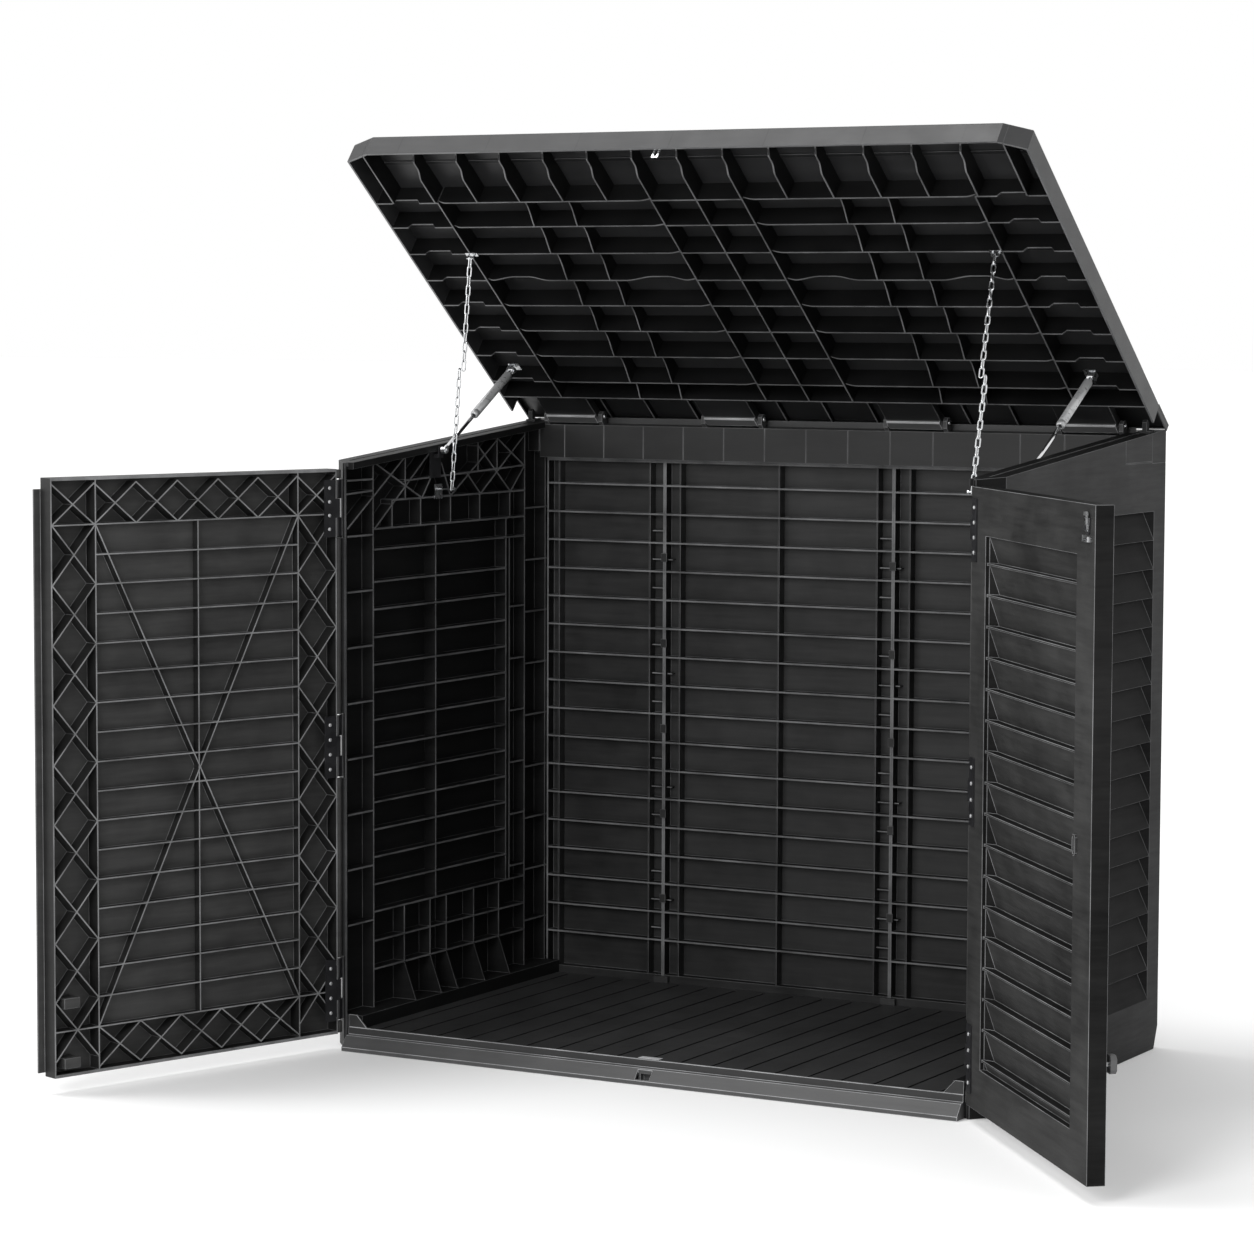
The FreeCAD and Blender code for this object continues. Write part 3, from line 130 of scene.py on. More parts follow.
class Board:
    """One material's nodes."""

    def __init__(self, name: str) -> None:
        """Start an empty material.

        Args:
            name: the material's name.
        """
        self.material = bpy.data.materials.new(name)
        self.material.use_nodes = True
        self.tree = self.material.node_tree
        self.tree.nodes.clear()

    def node(self, kind: str, settings: dict[str, object], sockets: dict[object, object],
             out: int | str = 0) -> Wire:
        """Add a node.

        Args:
            kind: the node's type.
            settings: its properties, set first.
            sockets: values or wires for its inputs, by name or place.
            out: the output that is wanted.

        Returns:
            The wire of that output.
        """
        made = self.tree.nodes.new(kind)
        for key, value in settings.items():
            setattr(made, key, value)
        for key, value in sockets.items():
            if isinstance(value, Wire):
                self.tree.links.new(value.socket, made.inputs[key])
            else:
                made.inputs[key].default_value = value
        return Wire(self, made.outputs[out])

    def place(self, scale: Sequence[float] = (1, 1, 1), turn: Sequence[float] = (0, 0, 0)) -> Wire:
        """Object coordinates in metres, scaled and turned.

        Args:
            scale: scale along each axis.
            turn: angles in radians.

        Returns:
            The wire of the coordinates.
        """
        spot = self.node("ShaderNodeTexCoord", {}, {}, "Object")
        return self.node("ShaderNodeMapping", {},
                         {"Vector": spot, "Scale": tuple(scale), "Rotation": tuple(turn)})

    def noise(self, at: Wire, scale: float, detail: float = 3.0, rough: float = 0.55) -> Wire:
        """Smooth noise around 0.5.

        Args:
            at: coordinates.
            scale: turns per metre.
            detail: octaves.
            rough: weight of the finer octaves.

        Returns:
            The wire of the noise.
        """
        return self.node("ShaderNodeTexNoise", {},
                         {"Vector": at, "Scale": scale, "Detail": detail, "Roughness": rough}, "Fac")

    def mix(self, part: Wire, low: Sequence[float], high: Sequence[float]) -> Wire:
        """A colour between low and high.

        Args:
            part: 0 for low, 1 for high.
            low: a colour.
            high: a colour.

        Returns:
            The wire of the mixed colour.
        """
        return self.node("ShaderNodeMix", {"data_type": "RGBA"}, {0: part, 6: tuple(low) + (1.0,),
                                                                  7: tuple(high) + (1.0,)}, 2)

    def mark(self, name: str) -> Wire:
        """A face attribute of the mesh, 0 where it is missing."""
        return self.node("ShaderNodeAttribute", {"attribute_name": name}, {}, "Fac")

    def seams(self, across: Wire, pitch: float, width: float) -> Wire:
        """1 in thin lines that repeat along a coordinate.

        Args:
            across: the coordinate, in metres.
            pitch: distance between the lines.
            width: width of a line.

        Returns:
            The wire of the mask.
        """
        turn = across.maths("FRACT", across * (1.0 / pitch))
        return turn.maths("LESS_THAN", turn, width / pitch)

    def finish(self, constants: dict[str, object], varying: dict[str, Wire]) -> bpy.types.Material:
        """Close the material with a Principled shader.

        Args:
            constants: numbers and colours set on the shader's own sockets.
            varying: wires of what changes over the surface.

        Returns:
            The material.
        """
        surface = self.node("ShaderNodeBsdfPrincipled", {}, {**constants, **varying})
        end = self.tree.nodes.new("ShaderNodeOutputMaterial")
        self.tree.links.new(surface.socket, end.inputs["Surface"])
        return self.material


# Finishes


@dataclass(frozen=True)
class Moulded:
    """Injection moulded plastic: fine leather-like grain and flow marks, a painted highlight on marked edges
    and painted shade on marked faces.
    """

    name: str
    dark: Triple
    light: Triple
    roughness: float
    shine: float = 0.35
    # edge is the tone of the painted edge highlight; depth is how much the painted shade darkens the marked
    # faces
    edge: float = 0.055
    depth: float = 0.35
    streak: Triple = (2.0, 2.0, 26.0)
    grain: float = 0.22
    seam: float = 0.0

    def build(self) -> bpy.types.Material:
        """The finished material.

        Blotches and streaks change the tone and the gloss, the marked rib edges are painted lighter as a
        highlight, the marked faces are painted darker as shade, and grain shapes the normal.

        Returns:
            The material.
        """
        b = Board(self.name)
        plain = b.place()
        blotch = b.noise(plain, 3.1, 4.0, 0.6)
        cloud = b.noise(b.place((1, 1, 1), (0.4, 0.2, 0.9)), 14.0, 3.0)
        streak = b.noise(b.place(self.streak), 3.4, 4.0, 0.65)
        fine = b.noise(plain, 900.0, 2.0, 0.6)
        tone = (0.5 + (blotch - 0.5) * 1.3 + (cloud - 0.5) * 0.7 + (streak - 0.5) * 1.0).held()
        if self.seam:
            x = b.node("ShaderNodeSeparateXYZ", {}, {0: plain}, "X")
            tone = (tone - b.seams(x, self.seam, 0.0022) * 0.75).held()
        # Painted highlight: the marked edges are lightened, patchy by the noise
        painted_highlight = b.mark("painted_highlight_edge") * (0.55 + (cloud - 0.5) * 1.2 + (fine - 0.5) * 0.5).held()
        # Painted shade: the faces marked inner are darkened by depth
        inner = b.mark("inner")
        coat = b.mix(tone, self.dark, self.light)
        shade = b.mix(inner * (1.0 - self.depth), (1.0, 1.0, 1.0), (0.0, 0.0, 0.0))
        coat = b.node("ShaderNodeMix", {"data_type": "RGBA", "blend_type": "MULTIPLY"},
                      {0: 1.0, 6: coat, 7: shade}, 2)
        # Lay the painted highlight's tone over the coat where the edges are marked
        highlight_tone = self.edge
        colour = b.node("ShaderNodeMix", {"data_type": "RGBA"},
                        {0: painted_highlight, 6: coat, 7: (highlight_tone, highlight_tone * 1.01, highlight_tone * 1.03, 1.0)}, 2)
        rough = (self.roughness + (cloud - 0.5) * 0.22 + (fine - 0.5) * 0.10 - painted_highlight * 0.10).held()
        height = fine * 0.7 + b.noise(plain, 260.0, 2.0) * 0.5 + streak * 0.25
        bump = b.node("ShaderNodeBump", {}, {"Strength": self.grain, "Distance": 0.0006, "Height": height})
        return b.finish({"Specular IOR Level": self.shine},
                        {"Base Color": colour, "Roughness": rough, "Normal": bump})


@dataclass(frozen=True)
class Metal:
    """Plated or painted metal with handling marks."""

    name: str
    dark: Triple
    light: Triple
    roughness: float
    metallic: float
    spangle: float = 60.0
    grain: float = 0.1

    def build(self) -> bpy.types.Material:
        """The finished material: cells of slightly different tone, and faint scratches along the piece.

        Returns:
            The material.
        """
        b = Board(self.name)
        at = b.place()
        cell = b.node("ShaderNodeTexVoronoi", {}, {"Vector": at, "Scale": self.spangle}, "Color")
        tone = b.node("ShaderNodeSeparateColor", {}, {0: cell}, 0)
        wear = b.noise(at, 120.0, 3.0)
        colour = b.mix((tone * 0.6 + wear * 0.5).held(), self.dark, self.light)
        rough = (self.roughness + (wear - 0.5) * 0.25).held()
        bump = b.node("ShaderNodeBump", {}, {"Strength": self.grain, "Distance": 0.0003,
                                             "Height": b.noise(b.place((1, 1, 0.1)), 800.0, 2.0)})
        return b.finish({"Metallic": self.metallic},
                        {"Base Color": colour, "Roughness": rough, "Normal": bump})


class Finish(Enum):
    """The finishes of the store's pieces: the slot of the record and the look within it."""

    SHELL = ("anthracite_plastic", "outer")
    DEEP = ("anthracite_plastic", "inner")
    RIM = ("anthracite_plastic", "rim")
    WALL = ("anthracite_plastic", "wall")
    DOOR = ("anthracite_plastic", "door")
    FLOOR = ("anthracite_plastic", "floor")
    COVER = ("anthracite_plastic", "cover")
    LEAF = ("anthracite_plastic", "leaf")
    SIDE = ("anthracite_plastic", "side")
    INSIDE = ("black_plastic", "ribs")
    KNOB = ("grey_plastic", "knob")
    GALVANISED = ("galvanised_steel", "zinc")
    CHROME = ("chromed_steel", "rod")
    GREY_PAINT = ("grey_painted_steel", "tube")
    BLACK_PAINT = ("black_painted_steel", "hardware")

    @property
    def slot(self) -> str:
        """The slot of the record."""
        return self.value[0]


class Palette:
    """The materials, each made once."""

    SPECS: dict[Finish, "Moulded | Metal"] = {
        # The anthracite finishes are copies of one plastic, each set lighter or darker for the light its
        # pieces get: painted light and shade. DEEP is darker for the pieces inside the store, LEAF darker for
        # the right door, COVER lighter, and edge is the tone of the painted edge highlight
        Finish.SHELL: Moulded("moulded_anthracite", (0.021, 0.0212, 0.0216), (0.042, 0.0422, 0.0428),
                              roughness=0.46, shine=0.28, edge=0.19),
        Finish.DEEP: Moulded("moulded_shaded", (0.009, 0.0091, 0.0092), (0.030, 0.0301, 0.0303),
                             roughness=0.44, shine=0.22, edge=0.20, depth=0.3),
        Finish.RIM: Moulded("moulded_rim", (0.012, 0.0122, 0.0128), (0.027, 0.0272, 0.0282),
                            roughness=0.40, shine=0.42, edge=0.17, depth=0.65, seam=0.205),
        Finish.WALL: Moulded("moulded_wall", (0.009, 0.0092, 0.0095), (0.027, 0.0272, 0.0276),
                             roughness=0.50, shine=0.12, edge=0.15, depth=0.42),
        Finish.DOOR: Moulded("moulded_door", (0.021, 0.0210, 0.0212), (0.053, 0.0530, 0.0524),
                             roughness=0.47, shine=0.22, edge=0.24, depth=0.36),
        Finish.LEAF: Moulded("moulded_leaf", (0.014, 0.0140, 0.0141), (0.048, 0.0480, 0.0475),
                             roughness=0.50, shine=0.02, edge=0.34, depth=0.35),
        Finish.SIDE: Moulded("moulded_side", (0.020, 0.0201, 0.0203), (0.050, 0.0501, 0.0505),
                             roughness=0.52, shine=0.02, edge=0.20, depth=0.30),
        Finish.FLOOR: Moulded("moulded_floor", (0.019, 0.0191, 0.0194), (0.038, 0.0381, 0.0384),
                              roughness=0.46, shine=0.30, edge=0.03, depth=0.12),
        # INSIDE makes the lid's ribs and hinge barrels darker still, for the shade under the lid: painted
        # shade
        Finish.INSIDE: Moulded("moulded_black", (0.004, 0.0041, 0.0043), (0.013, 0.0131, 0.0135),
                               roughness=0.40, shine=0.26, edge=0.15),
        Finish.COVER: Moulded("moulded_cover", (0.045, 0.0452, 0.0458), (0.070, 0.0702, 0.0710),
                              roughness=0.42, shine=0.40, edge=0.62),
        Finish.KNOB: Moulded("moulded_grey", (0.055, 0.055, 0.056), (0.085, 0.085, 0.086),
                             roughness=0.45),
        Finish.GALVANISED: Metal("zinc_plate", (0.55, 0.56, 0.57), (0.80, 0.81, 0.82),
                                 roughness=0.28, metallic=1.0, spangle=90.0),
        Finish.CHROME: Metal("chrome_plate", (0.66, 0.66, 0.67), (0.80, 0.80, 0.81),
                             roughness=0.14, metallic=1.0, spangle=20.0, grain=0.03),
        Finish.GREY_PAINT: Metal("satin_grey_paint", (0.30, 0.305, 0.31), (0.46, 0.465, 0.47),
                                 roughness=0.30, metallic=0.45, spangle=30.0),
        Finish.BLACK_PAINT: Metal("black_paint", (0.010, 0.010, 0.011), (0.022, 0.022, 0.024),
                                  roughness=0.36, metallic=0.2, spangle=40.0),
    }

    def __init__(self) -> None:
        """Build every finish."""
        self.made = {finish: spec.build() for finish, spec in self.SPECS.items()}

    def __getitem__(self, finish: Finish) -> bpy.types.Material:
        """The material of a finish."""
        return self.made[finish]


# Local frames


@dataclass(frozen=True)
class Place:
    """A local frame: where its origin is and where its three axes point."""

    origin: Triple
    first: Triple
    second: Triple
    third: Triple

    def __call__(self, points: Points) -> Points:
        """Local points as world points: each coordinate times its axis, added to the origin."""
        axes = np.array([self.first, self.second, self.third])
        return np.asarray(points, float) @ axes + np.array(self.origin)


def lid_place() -> Place:
    """The open lid's frame: across, from the hinge to the front, and out of the lid's top.

    Returns:
        The frame, on the lid's hinge line.
    """
    c, s = math.cos(math.radians(LID_OPEN)), math.sin(math.radians(LID_OPEN))
    return Place(tuple(JOINTS["lid_hinge"]["pos_m"]), (1, 0, 0), (0, -c, s), (0, s, c))


def door_place(side: int) -> Place:
    """A door's frame as it stands open: from hinge edge to free edge, up, and out of its outer face.

    Args:
        side: -1 for the left door, 1 for the right.

    Returns:
        The frame: the shut door's, turned about its hinge pin by the whole way that it can shut.
    """
    hinge = JOINTS["door_left_hinge" if side < 0 else "door_right_hinge"]
    angle = math.radians(-side * hinge["range_deg"][0])
    c, s = math.cos(angle), math.sin(angle)
    pin = np.array(hinge["pos_m"][:2])
    turn = np.array(((c, -s), (s, c)))
    corner = turn @ (np.array((side * DOOR_CORNER[0], DOOR_CORNER[1])) - pin) + pin
    across = turn @ np.array((-side * 1.0, 0.0))
    out = turn @ np.array((0.0, -1.0))
    return Place((corner[0], corner[1], DOOR_BOTTOM), (across[0], across[1], 0), (0, 0, 1),
                 (out[0], out[1], 0))


LID = lid_place()
DOOR = {-1: door_place(-1), 1: door_place(1)}
WALL = {side: Place((side * WALL_INNER, 0, 0), (0, 1, 0), (0, 0, 1), (side * 1.0, 0, 0))
        for side in (-1, 1)}
REAR = Place((0, REAR_INNER, 0), (1, 0, 0), (0, 0, 1), (0, 1, 0))


# Surfaces


@dataclass(frozen=True)
class Facing:
    """The faces of a piece that look one way, and lie in one plane where a point of it is given.

    A face looks that way when the cosine of the angle between is over low and under high; only
    faces higher than over count.
    """

    way: Triple
    point: Triple | None = None
    low: float = 0.8
    high: float = 1.01
    over: float = -1.0

    def share(self, centres: Points, normals: Points) -> Points:
        """1 for each face that is found, 0 for the others.

        Args:
            centres: rows x, y, z of the faces' middles.
            normals: rows of their outward directions.

        Returns:
            The shares.
        """
        way = np.array(self.way)
        look = normals @ way
        found = (look > self.low) & (look < self.high) & (centres[:, 2] > self.over)
        if self.point is not None:
            found &= np.abs((centres - np.array(self.point)) @ way) < IN_PLANE
        return found.astype(float)


def marked(mesh: bpy.types.Mesh, name: str, *facings: Facing) -> None:
    """Write a face attribute that is 1 on the faces that any of the facings finds.

    Args:
        mesh: the mesh.
        name: the attribute's name.
        facings: how the faces are found.
    """
    count = len(mesh.polygons)
    centres, normals = np.empty(count * 3), np.empty(count * 3)
    mesh.polygons.foreach_get("center", centres)
    mesh.polygons.foreach_get("normal", normals)
    layer = mesh.attributes.get(name) or mesh.attributes.new(name, "FLOAT", "FACE")
    shares = [facing.share(centres.reshape(-1, 3), normals.reshape(-1, 3)) for facing in facings]
    layer.data.foreach_set("value", np.max(shares, axis=0))


def beside(way: Triple) -> Facing:
    """The faces that stand across a direction, such as a rib's sides."""
    return Facing(way, low=-0.5, high=0.5)


def rounded(mesh: bpy.types.Mesh, width: float, share: float = 0.70) -> None:
    """Round a mesh's sharp edges and mark the narrow new faces for a painted highlight.

    Args:
        mesh: the mesh.
        width: width of the rounded edges.
        share: how strongly the painted highlight shows on them.
    """
    work = bmesh.new()
    work.from_mesh(mesh)
    layer = work.faces.layers.float.get("painted_highlight_edge") or work.faces.layers.float.new("painted_highlight_edge")
    sharp = [edge for edge in work.edges
             if edge.is_manifold and edge.calc_face_angle(0.0) > math.radians(SHARP)]
    made = bmesh.ops.bevel(work, geom=sharp, offset=width, offset_type="OFFSET", segments=2, profile=0.5,
                           affect="EDGES", clamp_overlap=False, material=-1)
    # The rounded faces get the painted edge highlight
    for face in made["faces"]:
        face[layer] = max(face[layer], share)
    work.to_mesh(mesh)
    work.free()


def opposite(way: Sequence[float]) -> Triple:
    """The direction turned round."""
    return (-way[0], -way[1], -way[2])


class Shell:
    """Points and faces gathered as whole arrays until the piece is finished."""

    def __init__(self) -> None:
        """Start with nothing."""
        self.points: list[Points] = []
        self.faces: list[list[list[int]]] = []
        self.count = 0

    def add(self, points: Points, faces: Iterable[Sequence[int]]) -> "Shell":
        """Add points in world coordinates and the faces on them.

        Args:
            points: an array of rows x, y, z.
            faces: point numbers from 0 within this array.

        Returns:
            The shell itself.
        """
        rows = faces.tolist() if isinstance(faces, np.ndarray) else faces
        self.points.append(np.asarray(points, float))
        self.faces.append([[i + self.count for i in face] for face in rows])
        self.count += len(points)
        return self

    def bars(self, lines: Sequence[Sequence[float]], thick: float, low: float, high: float,
             at: Place) -> "Shell":
        """Straight ribs on a panel.

        Each rib's corners are its two ends moved half its thickness to either side of its line, at
        both depths.

        Args:
            lines: rows a0, b0, a1, b1 in the panel's own two axes.
            thick: the ribs' thickness.
            low: depth of the near face.
            high: depth of the far face.
            at: the panel's frame.

        Returns:
            The shell itself.
        """
        rows = np.asarray(lines, float)
        start, end = rows[:, :2], rows[:, 2:]
        along = (end - start) / np.linalg.norm(end - start, axis=1, keepdims=True)
        side = np.stack((-along[:, 1], along[:, 0]), 1) * thick / 2
        ring = np.stack((start - side, end - side, end + side, start + side), 1)
        depth = np.array((low, high))[None, :, None, None]
        ring = np.broadcast_to(ring[:, None], (len(rows), 2, 4, 2))
        local = np.concatenate((ring, np.broadcast_to(depth, ring.shape[:3] + (1,))), 3).reshape(-1, 3)
        block = np.array(((0, 3, 2, 1), (4, 5, 6, 7), (0, 1, 5, 4),
                          (1, 2, 6, 5), (2, 3, 7, 6), (3, 0, 4, 7)))
        faces = (block[None] + 8 * np.arange(len(rows))[:, None, None]).reshape(-1, 4)
        return self.add(at(local), faces)

    def fin(self, start: Sequence[float], end: Sequence[float], edge: Callable[[Points], Points],
            root: float, thick: float, at: Place, stations: int) -> "Shell":
        """A rib whose free edge is a curve.

        Stations run along the line; at each one the section is a rectangle from the root depth to
        the depth that edge gives for the share of the way along.

        Args:
            start: the line's first point in the panel's two axes.
            end: its last point.
            edge: depth of the free edge for an array of shares from 0 to 1.
            root: depth where the rib meets the panel.
            thick: the rib's thickness.
            at: the panel's frame.
            stations: sections along the rib.

        Returns:
            The shell itself.
        """
        a, b = np.asarray(start, float), np.asarray(end, float)
        share = np.linspace(0, 1, stations)
        line = a + (b - a) * share[:, None]
        along = (b - a) / np.linalg.norm(b - a)
        side = np.array((-along[1], along[0])) * thick / 2
        depth, foot = edge(share), np.full(stations, root)
        corners = ((-1, depth), (1, depth), (1, foot), (-1, foot))
        ring = np.stack([np.column_stack((line + side * k, d)) for k, d in corners], 1)
        return self.skin(at(ring.reshape(-1, 3)), stations, 4, False)

    def skin(self, points: Points, rows: int, columns: int, ring: bool) -> "Shell":
        """Faces between neighbouring rows of closed sections.

        Args:
            points: rows times columns points.
            rows: how many sections.
            columns: points in a section.
            ring: join the last section to the first instead of closing the ends.

        Returns:
            The shell itself.
        """
        r = np.arange(rows if ring else rows - 1)[:, None]
        c = np.arange(columns)[None]
        nr, nc = (r + 1) % rows, (c + 1) % columns
        quads = np.stack(np.broadcast_arrays(r * columns + c, r * columns + nc, nr * columns + nc,
                                             nr * columns + c), 2).reshape(-1, 4)
        faces = quads.tolist()
        if not ring:
            faces.append(list(range(columns))[::-1])
            faces.append([(rows - 1) * columns + k for k in range(columns)])
        return self.add(points, faces)

    def ring(self, path: Points, radius: float, normal: Points, sides: int = 10) -> "Shell":
        """A closed round tube along a flat ring.

        Each section is a circle of the radius; its spokes run across the path and along the normal.

        Args:
            path: the ring's points.
            radius: the wire's radius.
            normal: the direction across the ring's plane.
            sides: points round a section.

        Returns:
            The shell itself.
        """
        ahead = np.roll(path, -1, 0) - np.roll(path, 1, 0)
        ahead /= np.linalg.norm(ahead, axis=1, keepdims=True)
        spoke = np.cross(ahead, normal)
        turn = np.linspace(0, 2 * math.pi, sides, endpoint=False)
        points = path[:, None] + radius * (np.cos(turn)[None, :, None] * spoke[:, None]
                                           + np.sin(turn)[None, :, None] * normal)
        return self.skin(points.reshape(-1, 3), len(path), sides, True)

    def turned(self, profile: Sequence[Sequence[float]], start: Points, end: Points,
               sides: int = 32) -> "Shell":
        """A turned piece: a profile of radius against distance, carried round the line from start to end.

        Args:
            profile: rows distance, radius; distance in metres from start.
            start: a point of the axis.
            end: another, which sets the direction.
            sides: points round the axis.

        Returns:
            The shell itself.
        """
        rows = np.asarray(profile, float)
        axis = np.asarray(end, float) - np.asarray(start, float)
        axis = axis / np.linalg.norm(axis)
        lean = np.eye(3)[int(np.argmin(np.abs(axis)))]
        spoke = np.cross(axis, lean)
        spoke /= np.linalg.norm(spoke)
        other = np.cross(axis, spoke)
        turn = np.linspace(0, 2 * math.pi, sides, endpoint=False)
        circle = np.cos(turn)[:, None] * spoke + np.sin(turn)[:, None] * other
        points = np.asarray(start) + rows[:, 0, None, None] * axis + rows[:, 1, None, None] * circle[None]
        return self.skin(points.reshape(-1, 3), len(rows), sides, False)

    def prism(self, ring: Sequence[Sequence[float]], low: float, high: float, at: Place) -> "Shell":
        """A flat outline of the first two axes given a depth along the third.

        Args:
            ring: the outline's corners in order.
            low: depth of the near face.
            high: depth of the far face.
            at: the frame.

        Returns:
            The shell itself.
        """
        flat = np.asarray(ring, float)
        both = np.concatenate([np.column_stack((flat, np.full(len(flat), d))) for d in (low, high)])
        return self.skin(at(both), 2, len(flat), False)

    def finish(self, name: str, body: str, finish: Finish, palette: Palette, bevel: float = 0.0,
               smooth: bool = False, painted_highlight: Facing | None = None) -> bpy.types.Object:
        """Make the piece, dress it and set it on a body.

        Args:
            name: the piece's name.
            body: the body it rides on.
            finish: its finish.
            palette: the materials.
            bevel: width of the softened edges, in metres; 0 for none.
            smooth: shade it smooth.
            painted_highlight: the faces painted lighter as a highlight; those across them are painted darker
                as shade.

        Returns:
            The object.
        """
        mesh = bpy.data.meshes.new(name)
        mesh.from_pydata(np.concatenate(self.points).tolist(), [], [f for part in self.faces for f in part])
        work = bmesh.new()
        work.from_mesh(mesh)
        bmesh.ops.recalc_face_normals(work, faces=work.faces)
        work.to_mesh(mesh)
        work.free()
        # Painted highlight on the faces found, painted shade on the faces across them
        if painted_highlight:
            marked(mesh, "painted_highlight_edge", painted_highlight)
            marked(mesh, "inner", beside(painted_highlight.way))
        return settle(mesh, name, body, finish, palette, bevel, smooth)


def settle(mesh: bpy.types.Mesh, name: str, body: str, finish: Finish, palette: Palette, bevel: float,
           smooth: bool) -> bpy.types.Object:
    """Put a mesh into the scene as a finished piece.

    Args:
        mesh: the mesh, already in place.
        name: the piece's name.
        body: the body it rides on.
        finish: its finish.
        palette: the materials.
        bevel: width of the softened edges, in metres; 0 for none.
        smooth: shade it smooth.

    Returns:
        The object.
    """
    piece = bpy.data.objects.new(name, mesh)
    bpy.context.scene.collection.objects.link(piece)
    mesh.materials.clear()
    mesh.materials.append(palette[finish])
    if bevel:
        rounded(mesh, bevel)
    mesh.polygons.foreach_set("use_smooth", [smooth] * len(mesh.polygons))
    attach(piece, body)
    log.info("%s: %d faces on %s", name, len(mesh.polygons), body)
    return piece


def softened(node: str, finish: Finish, palette: Palette, bevel: float, painted_highlight: Facing | None = None,
             *painted_shade: Facing) -> bpy.types.Object:
    """A copy of a moulded solid with its edges rounded, in place of the sharp one.

    Args:
        node: the solid's name.
        finish: its finish.
        palette: the materials.
        bevel: width of the rounded edges, in metres.
        painted_highlight: the faces painted lighter as a highlight.
        painted_shade: the faces painted darker as shade.

    Returns:
        The object.
    """
    source = frame["nodes"][node]
    mesh = source.data.copy()
    work = bmesh.new()
    work.from_mesh(mesh)
    bmesh.ops.remove_doubles(work, verts=work.verts, dist=WELD)
    bmesh.ops.join_triangles(work, faces=work.faces, angle_face_threshold=math.radians(FLAT),
                             angle_shape_threshold=math.pi)
    work.to_mesh(mesh)
    work.free()
    # Mark the faces for the painted highlight and for the painted shade
    if painted_highlight:
        marked(mesh, "painted_highlight_edge", painted_highlight)
    if painted_shade:
        marked(mesh, "inner", *painted_shade)
    body = next(b for b, spot in BODY_OF.items() if node in spot)
    piece = settle(mesh, "soft_" + node, body, finish, palette, bevel, False)
    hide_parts(node)
    return piece


# Sub-assemblies


